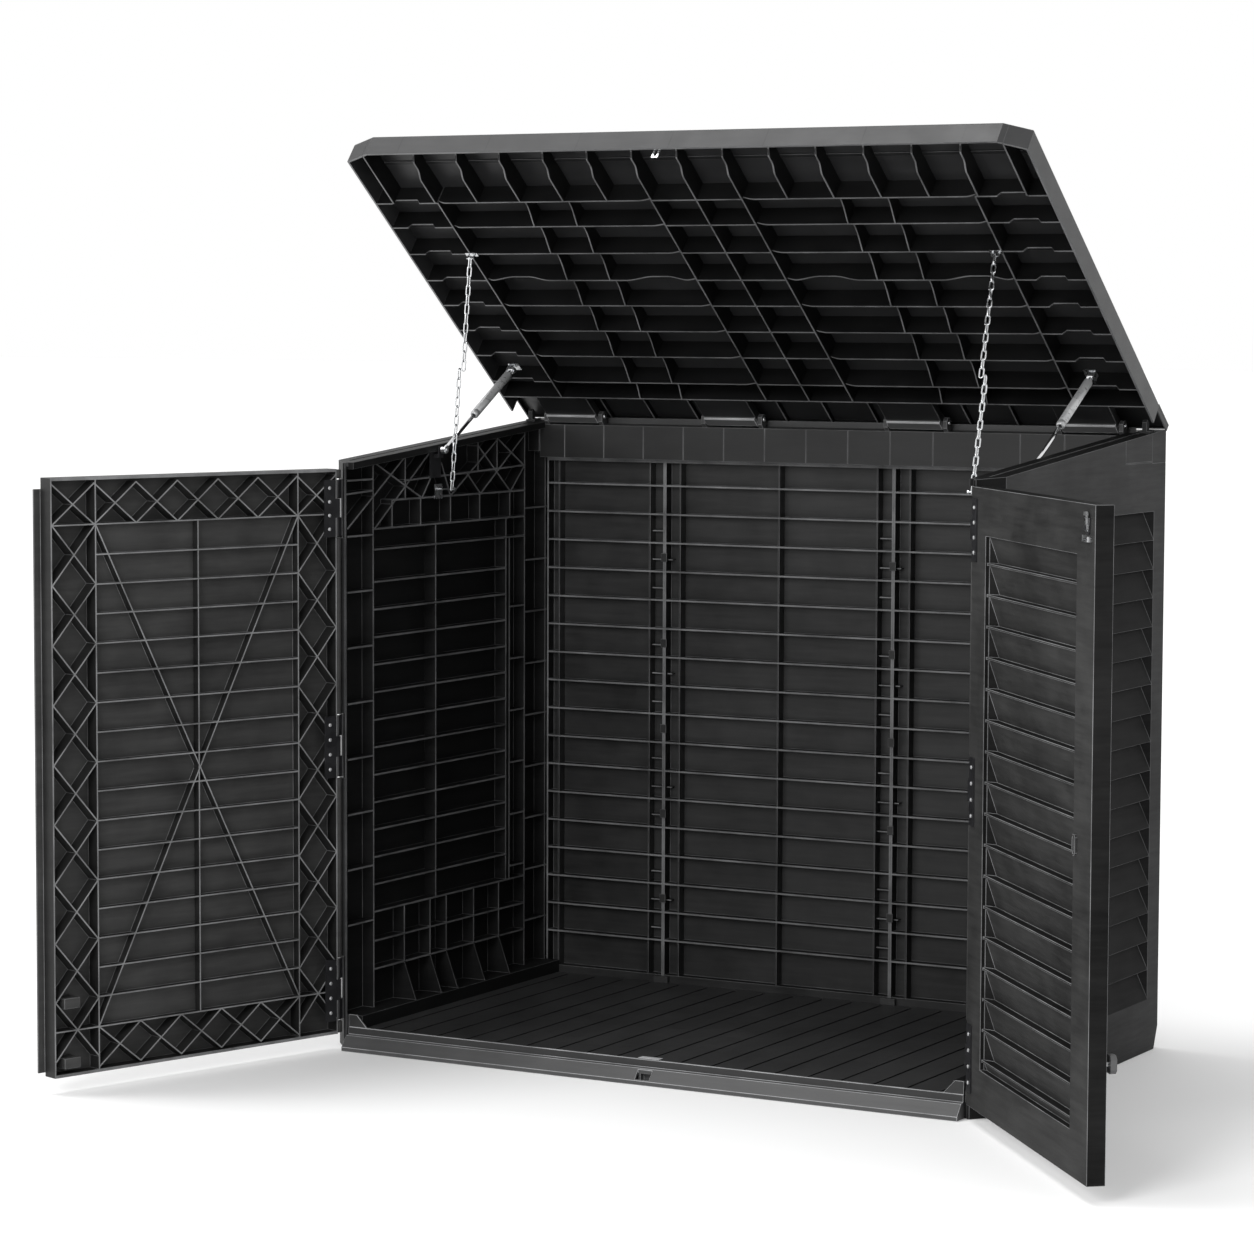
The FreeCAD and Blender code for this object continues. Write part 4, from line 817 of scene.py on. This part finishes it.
@dataclass
class Housing:
    """Floor, sill, walls, rear boards and rail.

    A pair of depths is that of the added ribs' free edges and that of their roots. A column of short
    ribs is given by its two sides along the wall, its lowest rib's height and how many it has.
    """

    palette: Palette
    edge: float = 0.0007
    fine_edge: float = 0.0004
    rib: float = 0.004
    sill_top: float = 0.045
    sill_step: float = 0.033
    groove: float = 0.039
    skirting: float = 0.060
    upstand: tuple[float, float] = (1.2440, 1.2588)
    uprights: tuple[float, ...] = (-0.655, -0.430, -0.356, -0.119, 0.110, 0.185, 0.420, 0.655)
    runged: tuple[float, ...] = (-0.430, 0.110)
    upright_ends: tuple[float, float] = (0.057, 1.164)
    rear_depths: tuple[float, float] = (0.0003, 0.0245)
    rear_rung: float = 0.0028
    rear_rung_depths: tuple[float, float] = (0.009, 0.0245)
    rear_rung_reach: tuple[float, float] = (0.034, 0.052)
    louvre_foot: float = 0.132
    louvre_pitch: float = 0.0614375
    louvres: int = 16
    wall_depths: tuple[float, float] = (0.0004, 0.0275)
    wall_upright_foot: float = 0.264
    wall_uprights: tuple[tuple[float, float], ...] = ((-0.063, 1.046), (0.235, 1.004))
    rung_pitch: float = 0.1124
    rung_columns: tuple[tuple[float, float, float, int], ...] = (
        (-0.396, -0.300, 0.248, 9), (0.236, 0.299, 0.292, 6), (0.299, 0.392, 0.164, 9))
    strips: tuple[tuple[float, float], ...] = ((0.1885, 0.5505), (0.6807, 1.0335))

    def build(self) -> None:
        """Soften the moulded pieces and add their smaller ribs."""
        up = (0.0, 0.0, 1.0)
        for side, word, shell in ((-1, "left", Finish.WALL), (1, "right", Finish.SIDE)):
            # Wall rib edges on the inner face get a painted highlight; all faces but the outward ones, such
            # as the louvre slats, get painted shade
            edge = Facing((-side * 1.0, 0.0, 0.0), (side * WALL_INNER, 0.0, 0.0))
            softened("wall_" + word, shell, self.palette, self.edge, edge,
                     Facing((side * 1.0, 0.0, 0.0), low=-1.01, high=SLOPED))
            softened("cap_rear_" + word, shell, self.palette, self.edge)
            softened("lid_post_" + word, Finish.WALL, self.palette, self.edge)
            self.wall_rungs(side, word)
        front = (0.0, -1.0, 0.0)
        # The sill lip's top gets a painted highlight and the apron's front gets painted shade
        softened("front_sill", Finish.COVER, self.palette, self.edge, Facing(up, (0.0, 0.0, self.sill_top)),
                 Facing(front, low=0.9, over=self.sill_step))
        # The rail's front faces get painted shade
        softened("rear_rail", Finish.SHELL, self.palette, self.edge, None, Facing(front))
        # Rear rib edges get a painted highlight and their sides get painted shade
        rear = Facing(front, (0.0, REAR_INNER, 0.0), over=self.skirting)
        for word in ("left", "centre", "right"):
            softened("rear_panel_" + word, Finish.DEEP, self.palette, self.edge, rear, beside(front))
        # The floor's groove sides and bottoms get painted shade
        softened("base_floor", Finish.FLOOR, self.palette, self.fine_edge, None, beside(up),
                 Facing(up, (0.0, 0.0, self.groove)))
        softened("floor_clips", Finish.FLOOR, self.palette, self.edge)
        softened("panel_clips", Finish.DEEP, self.palette, self.edge)
        # The keeper's top faces get a painted highlight
        softened("bolt_keeper", Finish.COVER, self.palette, self.edge, Facing(up))
        self.rear_uprights()
        self.trims()

    def trims(self) -> None:
        """The upstand along the rear rail, and the strips beside the doors on the walls' front edges."""
        (low, high), end = self.upstand, 0.684
        Shell().prism([(-end, low), (end, low), (end, high), (-end, high)], -0.0072, -0.0032, REAR).finish(
            "rear_rail_upstand", "store", Finish.SHELL, self.palette, 0.0006)
        wall_front = Place((0.0, -0.4, 0.0), (1, 0, 0), (0, 0, 1), (0, 1, 0))
        for x, word in ((-0.691, "left"), (0.691, "right")):
            lines = [(x, low, x, high) for low, high in self.strips]
            Shell().bars(lines, 0.012, -0.0085, -0.0063, wall_front).finish(
                "wall_%s_strip" % word, "store", Finish.WALL, self.palette, 0.0005)

    def wall_rungs(self, side: int, word: str) -> None:
        """The short ribs of a side wall's columns and the upright in its middle field.

        Args:
            side: -1 for the left wall, 1 for the right.
            word: the side's name.
        """
        foot, pitch = self.wall_upright_foot, self.rung_pitch
        lines = [(y, foot, y, top) for y, top in self.wall_uprights]
        lines += [(near, low + pitch * k, far, low + pitch * k)
                  for near, far, low, count in self.rung_columns for k in range(count)]
        # The rungs' free edges get a painted highlight and their sides get painted shade
        Shell().bars(lines, self.rib, *self.wall_depths, WALL[side]).finish(
            "wall_%s_rungs" % word, "store", Finish.WALL, self.palette, self.edge,
            painted_highlight=Facing((-side * 1.0, 0.0, 0.0)))

    def rear_uprights(self) -> None:
        """The rear boards' upright ribs, and short rungs beside two of them with every fourth left out."""
        front = Facing((0.0, -1.0, 0.0))
        low, high = self.upright_ends
        lines = [(x, low, x, high) for x in self.uprights]
        Shell().bars(lines, self.rib, *self.rear_depths, REAR).finish(
            "rear_uprights", "store", Finish.DEEP, self.palette, self.edge)
        rungs = []
        for x in self.runged:
            for k in range(self.louvres):
                if k % 4 != 3:
                    z = self.louvre_foot + self.louvre_pitch * (k + 0.42)
                    rungs.append((x + 0.003, z, x + self.rear_rung_reach[k % 2], z))
        # The rungs' free edges get a painted highlight and their sides get painted shade
        Shell().bars(rungs, self.rear_rung, *self.rear_rung_depths, REAR).finish(
            "rear_rungs", "store", Finish.DEEP, self.palette, 0.0005, painted_highlight=front)


@dataclass
class Lid:
    """The lifting lid with its curved ribs.

    A rise is how much shallower a rib's free edge gets.
    """

    palette: Palette
    half: float = 0.742
    behind: float = 0.028
    reach: float = 0.875
    plane: float = -0.0113
    top: float = 0.035
    skin: float = 0.004
    wide: float = 0.592
    narrow: float = 0.100
    cell: float = 0.0996
    corner_x: float = 0.054
    corner_s: float = 0.022
    back: float = -0.040
    wall: float = 0.079
    raised: float = 0.020
    lip: float = 0.024
    rib: float = 0.0036
    shallow_rib: float = 0.003
    shares: tuple[float, ...] = (0.125, 0.230, 0.331, 0.430, 0.527, 0.628, 0.728, 0.818)
    bumped_row: int = 4
    chain_row: int = 5
    rear_cells: int = 14
    front_cells: int = 14
    hollowed: tuple[float, ...] = (-0.400, -0.300, 0.300, 0.400)
    step_rise: float = 0.009
    end_rise: float = 0.006
    bump_rise: float = 0.010
    hollow_rise: float = 0.015
    wave_rises: tuple[float, float] = (0.010, 0.012)
    fine_edge: float = 0.0006

    @property
    def root(self) -> float:
        """Depth of the deck's underside, where the ribs stand."""
        return self.top - self.skin

    @property
    def rows(self) -> list[float]:
        """Distances of the cross ribs from the hinge."""
        return [self.behind + (self.reach - self.behind) * share for share in self.shares]

    def outline(self, inset: float) -> Points:
        """The rim's line, from the rear left end round the front to the rear right one.

        Args:
            inset: how far the line is drawn in from the rim's outer face.

        Returns:
            Its six corners, across and from the hinge.
        """
        w, far = self.half - inset, self.reach - inset
        cut = inset * 0.35
        return np.array([(-w, self.behind), (-w, far - self.corner_s + cut),
                         (-w + self.corner_x - cut, far),
                         (w - self.corner_x + cut, far), (w, far - self.corner_s + cut), (w, self.behind)])

    def build(self) -> None:
        """Make the rim, the deck and the ribs."""
        self.shell()
        self.cross_ribs()
        self.long_ribs()
        dress("lid_catch", Finish.GALVANISED, self.palette)

    def shell(self) -> None:
        """Rim and deck.

        The rim's section is carried round the outline, and the deck fills it and runs on behind.
        """
        root, top = self.root, self.top
        lap, chamfer = 0.0300, 0.0035
        section = [(0.0, self.plane), (0.0, top - chamfer), (0.0010, top - 0.0010), (chamfer, top),
                   (lap, top), (lap, root), (self.skin, root), (self.skin, self.plane)]
        ring = np.stack([np.column_stack((self.outline(inset), np.full(6, t))) for inset, t in section], 1)
        build = Shell()
        build.skin(LID(ring.reshape(-1, 3)), 6, len(section), False)
        inner = self.outline(lap - 0.0005)
        inner[0, 1] = inner[-1, 1] = near = self.behind + 0.0004
        w = self.half
        plate = [(-w, self.back), (-w, near), *inner.tolist(), (w, near), (w, self.back)]
        build.prism(plate, root + 0.0001, top - 0.0002, LID)
        inward = opposite(LID.third)
        rim_edge, deck_face = (tuple(LID(np.array((0.0, 0.0, depth)))) for depth in (self.plane, root))
        # The rim's lower edge gets a painted highlight and the deck's underside gets painted shade
        piece = build.finish("lid_shell", "lid", Finish.RIM, self.palette, painted_highlight=Facing(inward, rim_edge))
        marked(piece.data, "inner", Facing(inward, deck_face))
        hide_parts("lid_panel")

    def straight(self, build: Shell, start: Sequence[float], end: Sequence[float], depth: float) -> None:
        """Add a rib with a straight free edge.

        Args:
            build: the shell that gets it.
            start: the line's first point, across and from the hinge.
            end: its last point.
            depth: depth of its free edge.
        """
        build.fin(start, end, lambda share: np.full_like(share, depth), self.root, self.rib, LID,
                  stations=3)

    def cross_ribs(self) -> None:
        """Ribs across the lid: a stepped edge in the outer bays, a rounded start in the wide bays."""
        build = Shell()
        root, deep = self.root, self.plane

        def stepped(share: Points) -> Points:
            """A trapezoid step in the middle of the bay."""
            rise = np.clip((share - 0.30) / 0.05, 0, 1) * np.clip((0.74 - share) / 0.05, 0, 1)
            return deep + self.step_rise * rise

        def lift(share: Points) -> Points:
            """The rise at the bay's ends, a quarter of a sine wave."""
            ends = np.clip(share / 0.06, 0, 1) * np.clip((1 - share) / 0.04, 0, 1)
            return self.end_rise * (1 - np.sin(ends * math.pi / 2))

        def eased(share: Points) -> Points:
            """Shallow at the bay's ends, falling to full depth."""
            return deep + lift(share)

        def bumped(share: Points) -> Points:
            """Eased ends, and two long bumps between that rise and fall as a cosine.

            Args:
                share: shares of the way along the bay.

            Returns:
                The free edge's depths.
            """
            bump = np.zeros_like(share)
            for middle in (0.18, 0.84):
                bump += np.clip(1.25 - np.abs(share - middle) / 0.12, 0, 1)
            return deep + (lift(share) + self.bump_rise * (0.5 - 0.5 * np.cos(np.clip(bump, 0, 1) * math.pi)))

        for number, s in enumerate(self.rows):
            for side in (-1, 1):
                a, b = side * self.wide, side * (self.half - self.skin)
                build.fin((a, s), (b, s), stepped, root, self.rib, LID, stations=80)
                a, b = side * self.narrow, side * self.wide
                build.fin((a, s), (b, s), bumped if number == self.bumped_row else eased, root, self.rib,
                          LID, stations=120)
            self.straight(build, (-self.narrow, s), (self.narrow, s), deep)
        inner, end, rear = self.half - self.skin, self.half - 0.0003, self.back + 0.002
        self.straight(build, (-inner, self.wall), (inner, self.wall), deep)
        self.straight(build, (-end, rear), (end, rear), self.lip)
        # The ribs' free edges get a painted highlight and their sides get painted shade
        build.finish("lid_cross_ribs", "lid", Finish.INSIDE, self.palette, self.fine_edge,
                     painted_highlight=Facing(opposite(LID.third)))

    def long_ribs(self) -> None:
        """Ribs from rear to front: straight ones, shallow curved ones and the front cells' waved ones."""
        build = Shell()
        root, deep = self.root, self.plane
        rows = [self.wall] + self.rows
        pitch = (2 * self.half - self.skin) / self.rear_cells
        for k in range(self.rear_cells + 1):
            x = -self.half + self.skin / 2 + pitch * k
            far = self.behind if k in (0, self.rear_cells) else self.wall
            self.straight(build, (x, self.back), (x, far), self.raised)
        for x in (-self.wide, -self.narrow, 0.0, self.narrow, self.wide):
            self.straight(build, (x, rows[0]), (x, rows[-1]), deep)

        def hollow(share: Points) -> Points:
            """Full depth at the rear rib, easing shallower towards the front one."""
            return deep + self.hollow_rise * np.sin(np.clip(share * 1.3, 0, 1) * math.pi / 2) ** 1.4

        def waved(share: Points) -> Points:
            """Full depth at the cross rib, a scoop and a step up before the rim, each half a cosine wave.

            Args:
                share: shares of the way from the last cross rib to the rim.

            Returns:
                The free edge's depths.
            """
            scoop = 0.5 - 0.5 * np.cos(np.clip((share - 0.45) / 0.18, 0, 1) * math.pi)
            second = 0.5 - 0.5 * np.cos(np.clip((share - 0.74) / 0.10, 0, 1) * math.pi)
            return deep + self.wave_rises[0] * scoop + self.wave_rises[1] * second

        def even(share: Points) -> Points:
            """Full depth all along."""
            return np.full_like(share, deep)

        for near, far in zip(rows[:-1], rows[1:]):
            for x in self.hollowed:
                build.fin((x, near), (x, far), hollow, root, self.shallow_rib, LID, stations=24)
        front, last = self.reach - self.skin, self.front_cells // 2
        for k in range(-last, last + 1):
            edge = even if abs(k) == last else waved
            build.fin((k * self.cell, self.rows[-1]), (k * self.cell, front), edge, root, self.rib, LID,
                      stations=60)
        # The ribs' free edges get a painted highlight and their sides get painted shade
        build.finish("lid_long_ribs", "lid", Finish.INSIDE, self.palette, self.fine_edge,
                     painted_highlight=Facing(opposite(LID.third)))
        lines = []
        for near, far in zip([self.wall] + self.rows, self.rows + [front]):
            middle = near + (far - near) * 0.52
            lines.append((-self.half + 0.006, middle, self.half - 0.006, middle))
        Shell().bars(lines, 0.010, root - 0.0022, root + 0.001, LID).finish(
            "lid_deck_steps", "lid", Finish.INSIDE, self.palette, 0.0008)


@dataclass
class Doors:
    """Both doors with their ribs and fittings."""

    palette: Palette
    width: float = 0.688
    height: float = 1.139
    hinge_spans: tuple[tuple[float, float], ...] = ((0.881, 0.981), (0.457, 0.566), (0.024, 0.134))
    bead_radius: float = 0.009
    screws_per_leaf: int = 4
    screw_in: float = 0.021
    screw_shares: tuple[float, float] = (0.14, 0.24)
    screw_depths: tuple[float, float] = (-0.003, -0.010)
    upright_span: tuple[float, float] = (0.077, 0.921)

    def build(self) -> None:
        """Soften the panels and add screws, ribs and round hinge parts."""
        # The left door's inner rib edges get a painted highlight; rib sides and sloping louvre faces on both
        # doors get painted shade
        inner = Facing(opposite(DOOR[-1].third), DOOR[-1].origin)
        softened("door_left_panel", Finish.DOOR, self.palette, 0.0007, inner, beside(inner.way),
                 Facing(DOOR[-1].third, low=0.5, high=SLOPED))
        softened("door_right_panel", Finish.LEAF, self.palette, 0.0009, None,
                 Facing(DOOR[1].third, low=-0.9, high=SLOPED))
        for node in ("door_left_astragal", "door_left_bosses"):
            softened(node, Finish.DOOR, self.palette, 0.0008)
        softened("door_right_grip", Finish.LEAF, self.palette, 0.0008)
        low, high = (share * self.height for share in self.upright_span)
        # The upright's free edge gets a painted highlight and its sides get painted shade
        Shell().bars([(self.width / 2, low, self.width / 2, high)], 0.003, 0.0004, 0.0165, DOOR[-1]).finish(
            "door_left_upright", "door_left", Finish.DOOR, self.palette, 0.0006, painted_highlight=Facing(inner.way))
        for side, word in ((-1, "left"), (1, "right")):
            self.screws(side, word)
            self.bead(word)
        for node in ("bolt_guide_upper", "bolt_guide_lower", "latch_plate"):
            dress(node, Finish.BLACK_PAINT, self.palette)
        for node in ("latch_rest", "latch_hook"):
            dress(node, Finish.GALVANISED, self.palette)
        softened("drop_bolt_knob", Finish.KNOB, self.palette, 0.0015)
        dress("drop_bolt_rod", Finish.GALVANISED, self.palette)
        for side in ("left", "right"):
            for node in ("door_%s_hinge_leaves", "wall_%s_hinge_leaves", "wall_%s_hinge_pins"):
                dress(node % side, Finish.BLACK_PAINT, self.palette)

    def screws(self, side: int, word: str) -> None:
        """Domed screw heads on the hinge leaves.

        Args:
            side: -1 for the left door, 1 for the right.
            word: the side's name.
        """
        build = Shell()
        dome = [(0.0, 0.0038), (0.0008, 0.0038), (0.0016, 0.0032), (0.0022, 0.0019), (0.0024, 0.0004)]
        first, pitch = self.screw_shares
        for low, high in self.hinge_spans:
            for k in range(self.screws_per_leaf):
                v = self.height * (low + (high - low) * (first + pitch * k))
                foot, tip = (DOOR[side](np.array((self.screw_in, v, depth))) for depth in self.screw_depths)
                build.turned(dome, foot, tip, sides=14)
        build.finish("door_%s_screws" % word, "door_" + word, Finish.GREY_PAINT, self.palette, smooth=True)

    def bead(self, word: str) -> None:
        """The round bead of a door's hinge edge, between the hinges.

        Args:
            word: the side's name.
        """
        build = Shell()
        r, c = self.bead_radius, 0.0012
        gap, end = 0.0025, 0.0015
        spans = [(low * self.height - gap, high * self.height + gap)
                 for low, high in self.hinge_spans[::-1]]
        stops = [end, *(v for span in spans for v in span), self.height - end]
        pin = JOINTS["door_%s_hinge" % word]["pos_m"]
        for low, high in zip(stops[::2], stops[1::2]):
            foot, tip = (np.array((pin[0], pin[1], DOOR_BOTTOM + v)) for v in (low, high))
            long = high - low
            build.turned([(0.0, r - c), (c, r), (long - c, r), (long, r - c)], foot, tip, sides=24)
        build.finish("door_%s_bead" % word, "door_" + word, Finish.DOOR, self.palette, smooth=True)


def dress(node: str, finish: Finish, palette: Palette) -> None:
    """Give a kept solid its finish."""
    for spot in frame["nodes"][node].material_slots:
        spot.material = palette[finish]


@dataclass
class Chains:
    """Two safety chains of welded oval links."""

    palette: Palette
    wire: float = 0.003
    wide: float = 0.0115
    end_lap: float = 0.004
    aside: float = 0.0046
    eye_depth: float = -0.0216
    counts: ClassVar[dict[str, tuple[int, int]]] = {"left": (12, 13), "right": (14, 13)}
    eyes: ClassVar[dict[str, float]] = {"left": -0.588, "right": 0.581}
    studs: ClassVar[dict[str, Triple]] = {"left": (-0.6506, -0.0567, 1.1184),
                                          "right": (0.6598, -0.3562, 1.1574)}

    def ends(self, side: str) -> tuple[Points, Points, Points, float]:
        """Eye, middle and stud of a chain, and its pitch: links share the straight run evenly.

        Args:
            side: left or right.

        Returns:
            The three points and the pitch.
        """
        lid = Lid(self.palette)
        eye = LID(np.array((self.eyes[side], lid.rows[lid.chain_row], self.eye_depth)))
        stud = np.array(self.studs[side])
        reach = float(np.linalg.norm(stud - eye))
        upper, lower = self.counts[side]
        step = (reach + self.end_lap) / (upper + lower)
        return eye, eye + (stud - eye) / reach * step * upper, stud, step

    def half(self, origin: Points, towards: Points, step: float, count: int) -> Shell:
        """Half a chain: links set in turn flat and upright.

        Args:
            origin: the eye or stud it hangs on.
            towards: where it runs.
            step: the pitch of the links.
            count: how many links.

        Returns:
            The shell of the links.
        """
        run = (towards - origin) / np.linalg.norm(towards - origin)
        across = np.cross(run, (1.0, 0.0, 0.0))
        across /= np.linalg.norm(across)
        other = np.cross(run, across)
        build = Shell()
        bend = (self.wide - self.wire) / 2
        turn = np.linspace(-math.pi / 2, math.pi / 2, 9)
        for k in range(count):
            lap = self.wire if k else self.end_lap
            start, end = step * k - lap, step * (k + 1)
            far = np.column_stack((end - bend + bend * np.cos(turn), bend * np.sin(turn)))
            near = np.column_stack((start + bend - bend * np.cos(turn), -bend * np.sin(turn)))
            flat = np.concatenate((far, near))
            wide = other if k % 2 else across
            path = origin + flat[:, :1] * run + flat[:, 1:] * wide
            build.ring(path, self.wire / 2, np.cross(run, wide))
        return build

    def build(self) -> None:
        """Make the four half chains in place of the plain ones."""
        for side in ("left", "right"):
            eye, middle, stud, step = self.ends(side)
            upper, lower = self.counts[side]
            aside = np.array((self.aside if side == "right" else -self.aside, 0.0, 0.0))
            for word, origin, towards, count in (("upper", eye, middle - aside, upper),
                                                 ("lower", stud, middle + aside, lower)):
                node = "chain_%s_%s" % (side, word)
                piece = self.half(origin, towards, step, count).finish(
                    "links_%s_%s" % (side, word), node, Finish.GALVANISED, self.palette, smooth=True)
                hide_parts(node)
            for word in ("eye", "stud"):
                dress("chain_%s_%s" % (side, word), Finish.GALVANISED, self.palette)


@dataclass
class Struts:
    """Gas struts with turned tubes and rods."""

    palette: Palette
    tube: float = 0.009
    rod: float = 0.004
    aside: float = 0.662
    lid_eye: tuple[float, float] = (0.188, -0.023)
    wall_eye: tuple[float, float] = (-0.069, 1.199)

    def build(self) -> None:
        """Turn the tubes and rods and dress their ends."""
        for side, way in (("left", -1), ("right", 1)):
            upper = LID(np.array((way * self.aside, *self.lid_eye)))
            lower = np.array((way * self.aside, *self.wall_eye))
            r, groove = self.tube, self.tube - 0.0008
            body = [(0.016, 0.004), (0.016, r - 0.002), (0.018, r - 0.0004), (0.020, r), (0.166, r),
                    (0.1665, groove), (0.169, groove), (0.1695, r), (0.177, r), (0.180, r - 0.0014),
                    (0.181, r - 0.003), (0.181, 0.0042), (0.172, 0.0042)]
            piece = Shell().turned(body, upper, lower, sides=36).finish(
                "strut_%s_cylinder" % side, "strut_%s_tube" % side, Finish.GREY_PAINT, self.palette,
                smooth=True)
            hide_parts("strut_%s_tube" % side)
            length = float(np.linalg.norm(lower - upper))
            shaft = [(0.1594, 0.0005), (0.1594, self.rod), (length - 0.015, self.rod),
                     (length - 0.014, 0.0005)]
            piece = Shell().turned(shaft, upper, lower, sides=28).finish(
                "strut_%s_shaft" % side, "strut_%s_rod" % side, Finish.CHROME, self.palette, smooth=True)
            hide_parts("strut_%s_rod" % side)
            dress("strut_%s_wall_bracket" % side, Finish.BLACK_PAINT, self.palette)
            for node in ("upper_end", "lower_end", "lid_bracket"):
                dress("strut_%s_%s" % (side, node), Finish.GALVANISED, self.palette)


@dataclass
class LidHinges:
    """Round barrels and their covers, lugs and pin ends along the rear rail."""

    palette: Palette
    centres: tuple[float, ...] = (-0.598, -0.213, 0.213, 0.598)
    cover_half: float = 0.0600
    pin_half: float = 0.072

    def build(self) -> None:
        """Soften the barrels and lugs, and add the covers and the pins' heads."""
        # The barrels take the near-black finish so that they read as in shade under the lid (painted shade);
        # the covers take the lighter cover finish
        softened("lid_hinge_barrels", Finish.INSIDE, self.palette, 0.0012)
        softened("lid_hinge_lugs", Finish.SHELL, self.palette, 0.0010)
        dress("lid_hinge_pins", Finish.GALVANISED, self.palette)
        covers = Shell()
        section = [(-0.0110, -0.0100), (-0.0040, -0.0150), (0.0165, -0.0150), (0.0185, -0.0130),
                   (0.0185, -0.0040), (0.0160, -0.0020), (-0.0110, -0.0020)]
        for x in self.centres:
            ring = np.array([(x + way * self.cover_half, a, b) for way in (-1, 1) for a, b in section])
            covers.skin(LID(ring), 2, len(section), False)
        covers.finish("lid_hinge_covers", "lid", Finish.COVER, self.palette, 0.0010)
        heads = Shell()
        button = [(-0.0005, 0.0052), (0.0016, 0.0052), (0.0026, 0.0042), (0.0030, 0.0020), (0.0031, 0.0003)]
        for x in self.centres:
            for way in (-1, 1):
                foot = LID.origin + np.array((x + way * self.pin_half, 0.0, 0.0))
                heads.turned(button, foot, foot + np.array((way * 0.01, 0.0, 0.0)), sides=20)
        heads.finish("lid_hinge_pin_heads", "store", Finish.GALVANISED, self.palette, smooth=True)


@dataclass
class Studio:
    """Pale floor, soft light and the camera."""

    camera_at: Triple = (3.5666, -6.8651, 1.4832)
    lens: float = 110.85
    yaw: float = 29.168
    pitch: float = 4.6445
    roll: float = 0.2132

    def build(self) -> None:
        """Make floor, world, lights and camera."""
        self.floor()
        self.world()
        self.sun(towards=(-0.38, -0.10, 1.0), strength=0.90, spread=22.0)
        self.light("front", at=(0.4, -6.0, 3.2), aim=(0.0, 0.0, 0.8), size=2.4, power=170.0)
        self.light("side", at=(-5.5, -3.5, 2.6), aim=(0.2, 0.0, 1.0), size=1.8, power=60.0)
        self.camera()

    def sun(self, towards: Sequence[float], strength: float, spread: float) -> None:
        """A wide soft light from above that reaches the whole floor evenly.

        Args:
            towards: the direction of the light's source.
            strength: its strength.
            spread: the source's width, in degrees.
        """
        lamp = bpy.data.lights.new("key", "SUN")
        lamp.energy = strength
        lamp.angle = math.radians(spread)
        holder = bpy.data.objects.new("key", lamp)
        bpy.context.scene.collection.objects.link(holder)
        holder.rotation_mode = "QUATERNION"
        holder.rotation_quaternion = Vector(towards).to_track_quat("Z", "Y")

    def floor(self) -> None:
        """A wide pale floor."""
        mesh = bpy.data.meshes.new("studio_floor")
        r, under = 90.0, -0.0005
        corners = [(-r, -r, under), (r, -r, under), (r, r, under), (-r, r, under)]
        mesh.from_pydata(corners, [], [(0, 1, 2, 3)])
        floor = bpy.data.objects.new("studio_floor", mesh)
        bpy.context.scene.collection.objects.link(floor)
        board = Board("pale_floor")
        speck = board.noise(board.place(), 3.0, 2.0)
        mesh.materials.append(board.finish({"Specular IOR Level": 0.1}, {
            "Base Color": board.mix(speck, (0.915, 0.915, 0.915), (0.930, 0.930, 0.930)),
            "Roughness": (speck * 0.1 + 0.8).held()}))

    def world(self) -> None:
        """An even white surround."""
        world = bpy.data.worlds.new("white_surround")
        world.use_nodes = True
        world.node_tree.nodes["Background"].inputs["Color"].default_value = (1, 1, 1, 1)
        world.node_tree.nodes["Background"].inputs["Strength"].default_value = 1.0
        bpy.context.scene.world = world
        bpy.context.scene.view_settings.view_transform = "Standard"

    def light(self, name: str, at: Sequence[float], aim: Sequence[float], size: float,
              power: float) -> None:
        """A square soft box.

        Args:
            name: the lamp's name.
            at: where it stands.
            aim: what it faces.
            size: length of its side.
            power: watts.
        """
        lamp = bpy.data.lights.new(name, "AREA")
        lamp.size = size
        lamp.energy = power
        holder = bpy.data.objects.new(name, lamp)
        bpy.context.scene.collection.objects.link(holder)
        holder.location = at
        holder.rotation_mode = "QUATERNION"
        holder.rotation_quaternion = (Vector(aim) - Vector(at)).to_track_quat("-Z", "Y")

    def camera(self) -> None:
        """The camera at the photograph's place."""
        yaw, pitch, roll = (math.radians(v) for v in (self.yaw, self.pitch, self.roll))
        ahead = Vector((-math.sin(yaw) * math.cos(pitch), math.cos(yaw) * math.cos(pitch),
                        -math.sin(pitch)))
        right = Vector((math.cos(yaw), math.sin(yaw), 0.0))
        up = right.cross(ahead)
        r = math.cos(roll) * right + math.sin(roll) * up
        u = -math.sin(roll) * right + math.cos(roll) * up
        data = bpy.data.cameras.new("camera")
        data.lens = self.lens
        data.sensor_width = 36.0
        eye = bpy.data.objects.new("camera", data)
        bpy.context.scene.collection.objects.link(eye)
        turn = Matrix((r, u, -ahead)).transposed()
        eye.matrix_world = Matrix.Translation(self.camera_at) @ turn.to_4x4()
        bpy.context.scene.camera = eye


def main() -> None:
    """Build the store, piece by piece."""
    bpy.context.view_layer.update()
    palette = Palette()
    Studio().build()
    Housing(palette).build()
    Lid(palette).build()
    LidHinges(palette).build()
    Doors(palette).build()
    Chains(palette).build()
    Struts(palette).build()


if __name__ == "__main__":
    main()
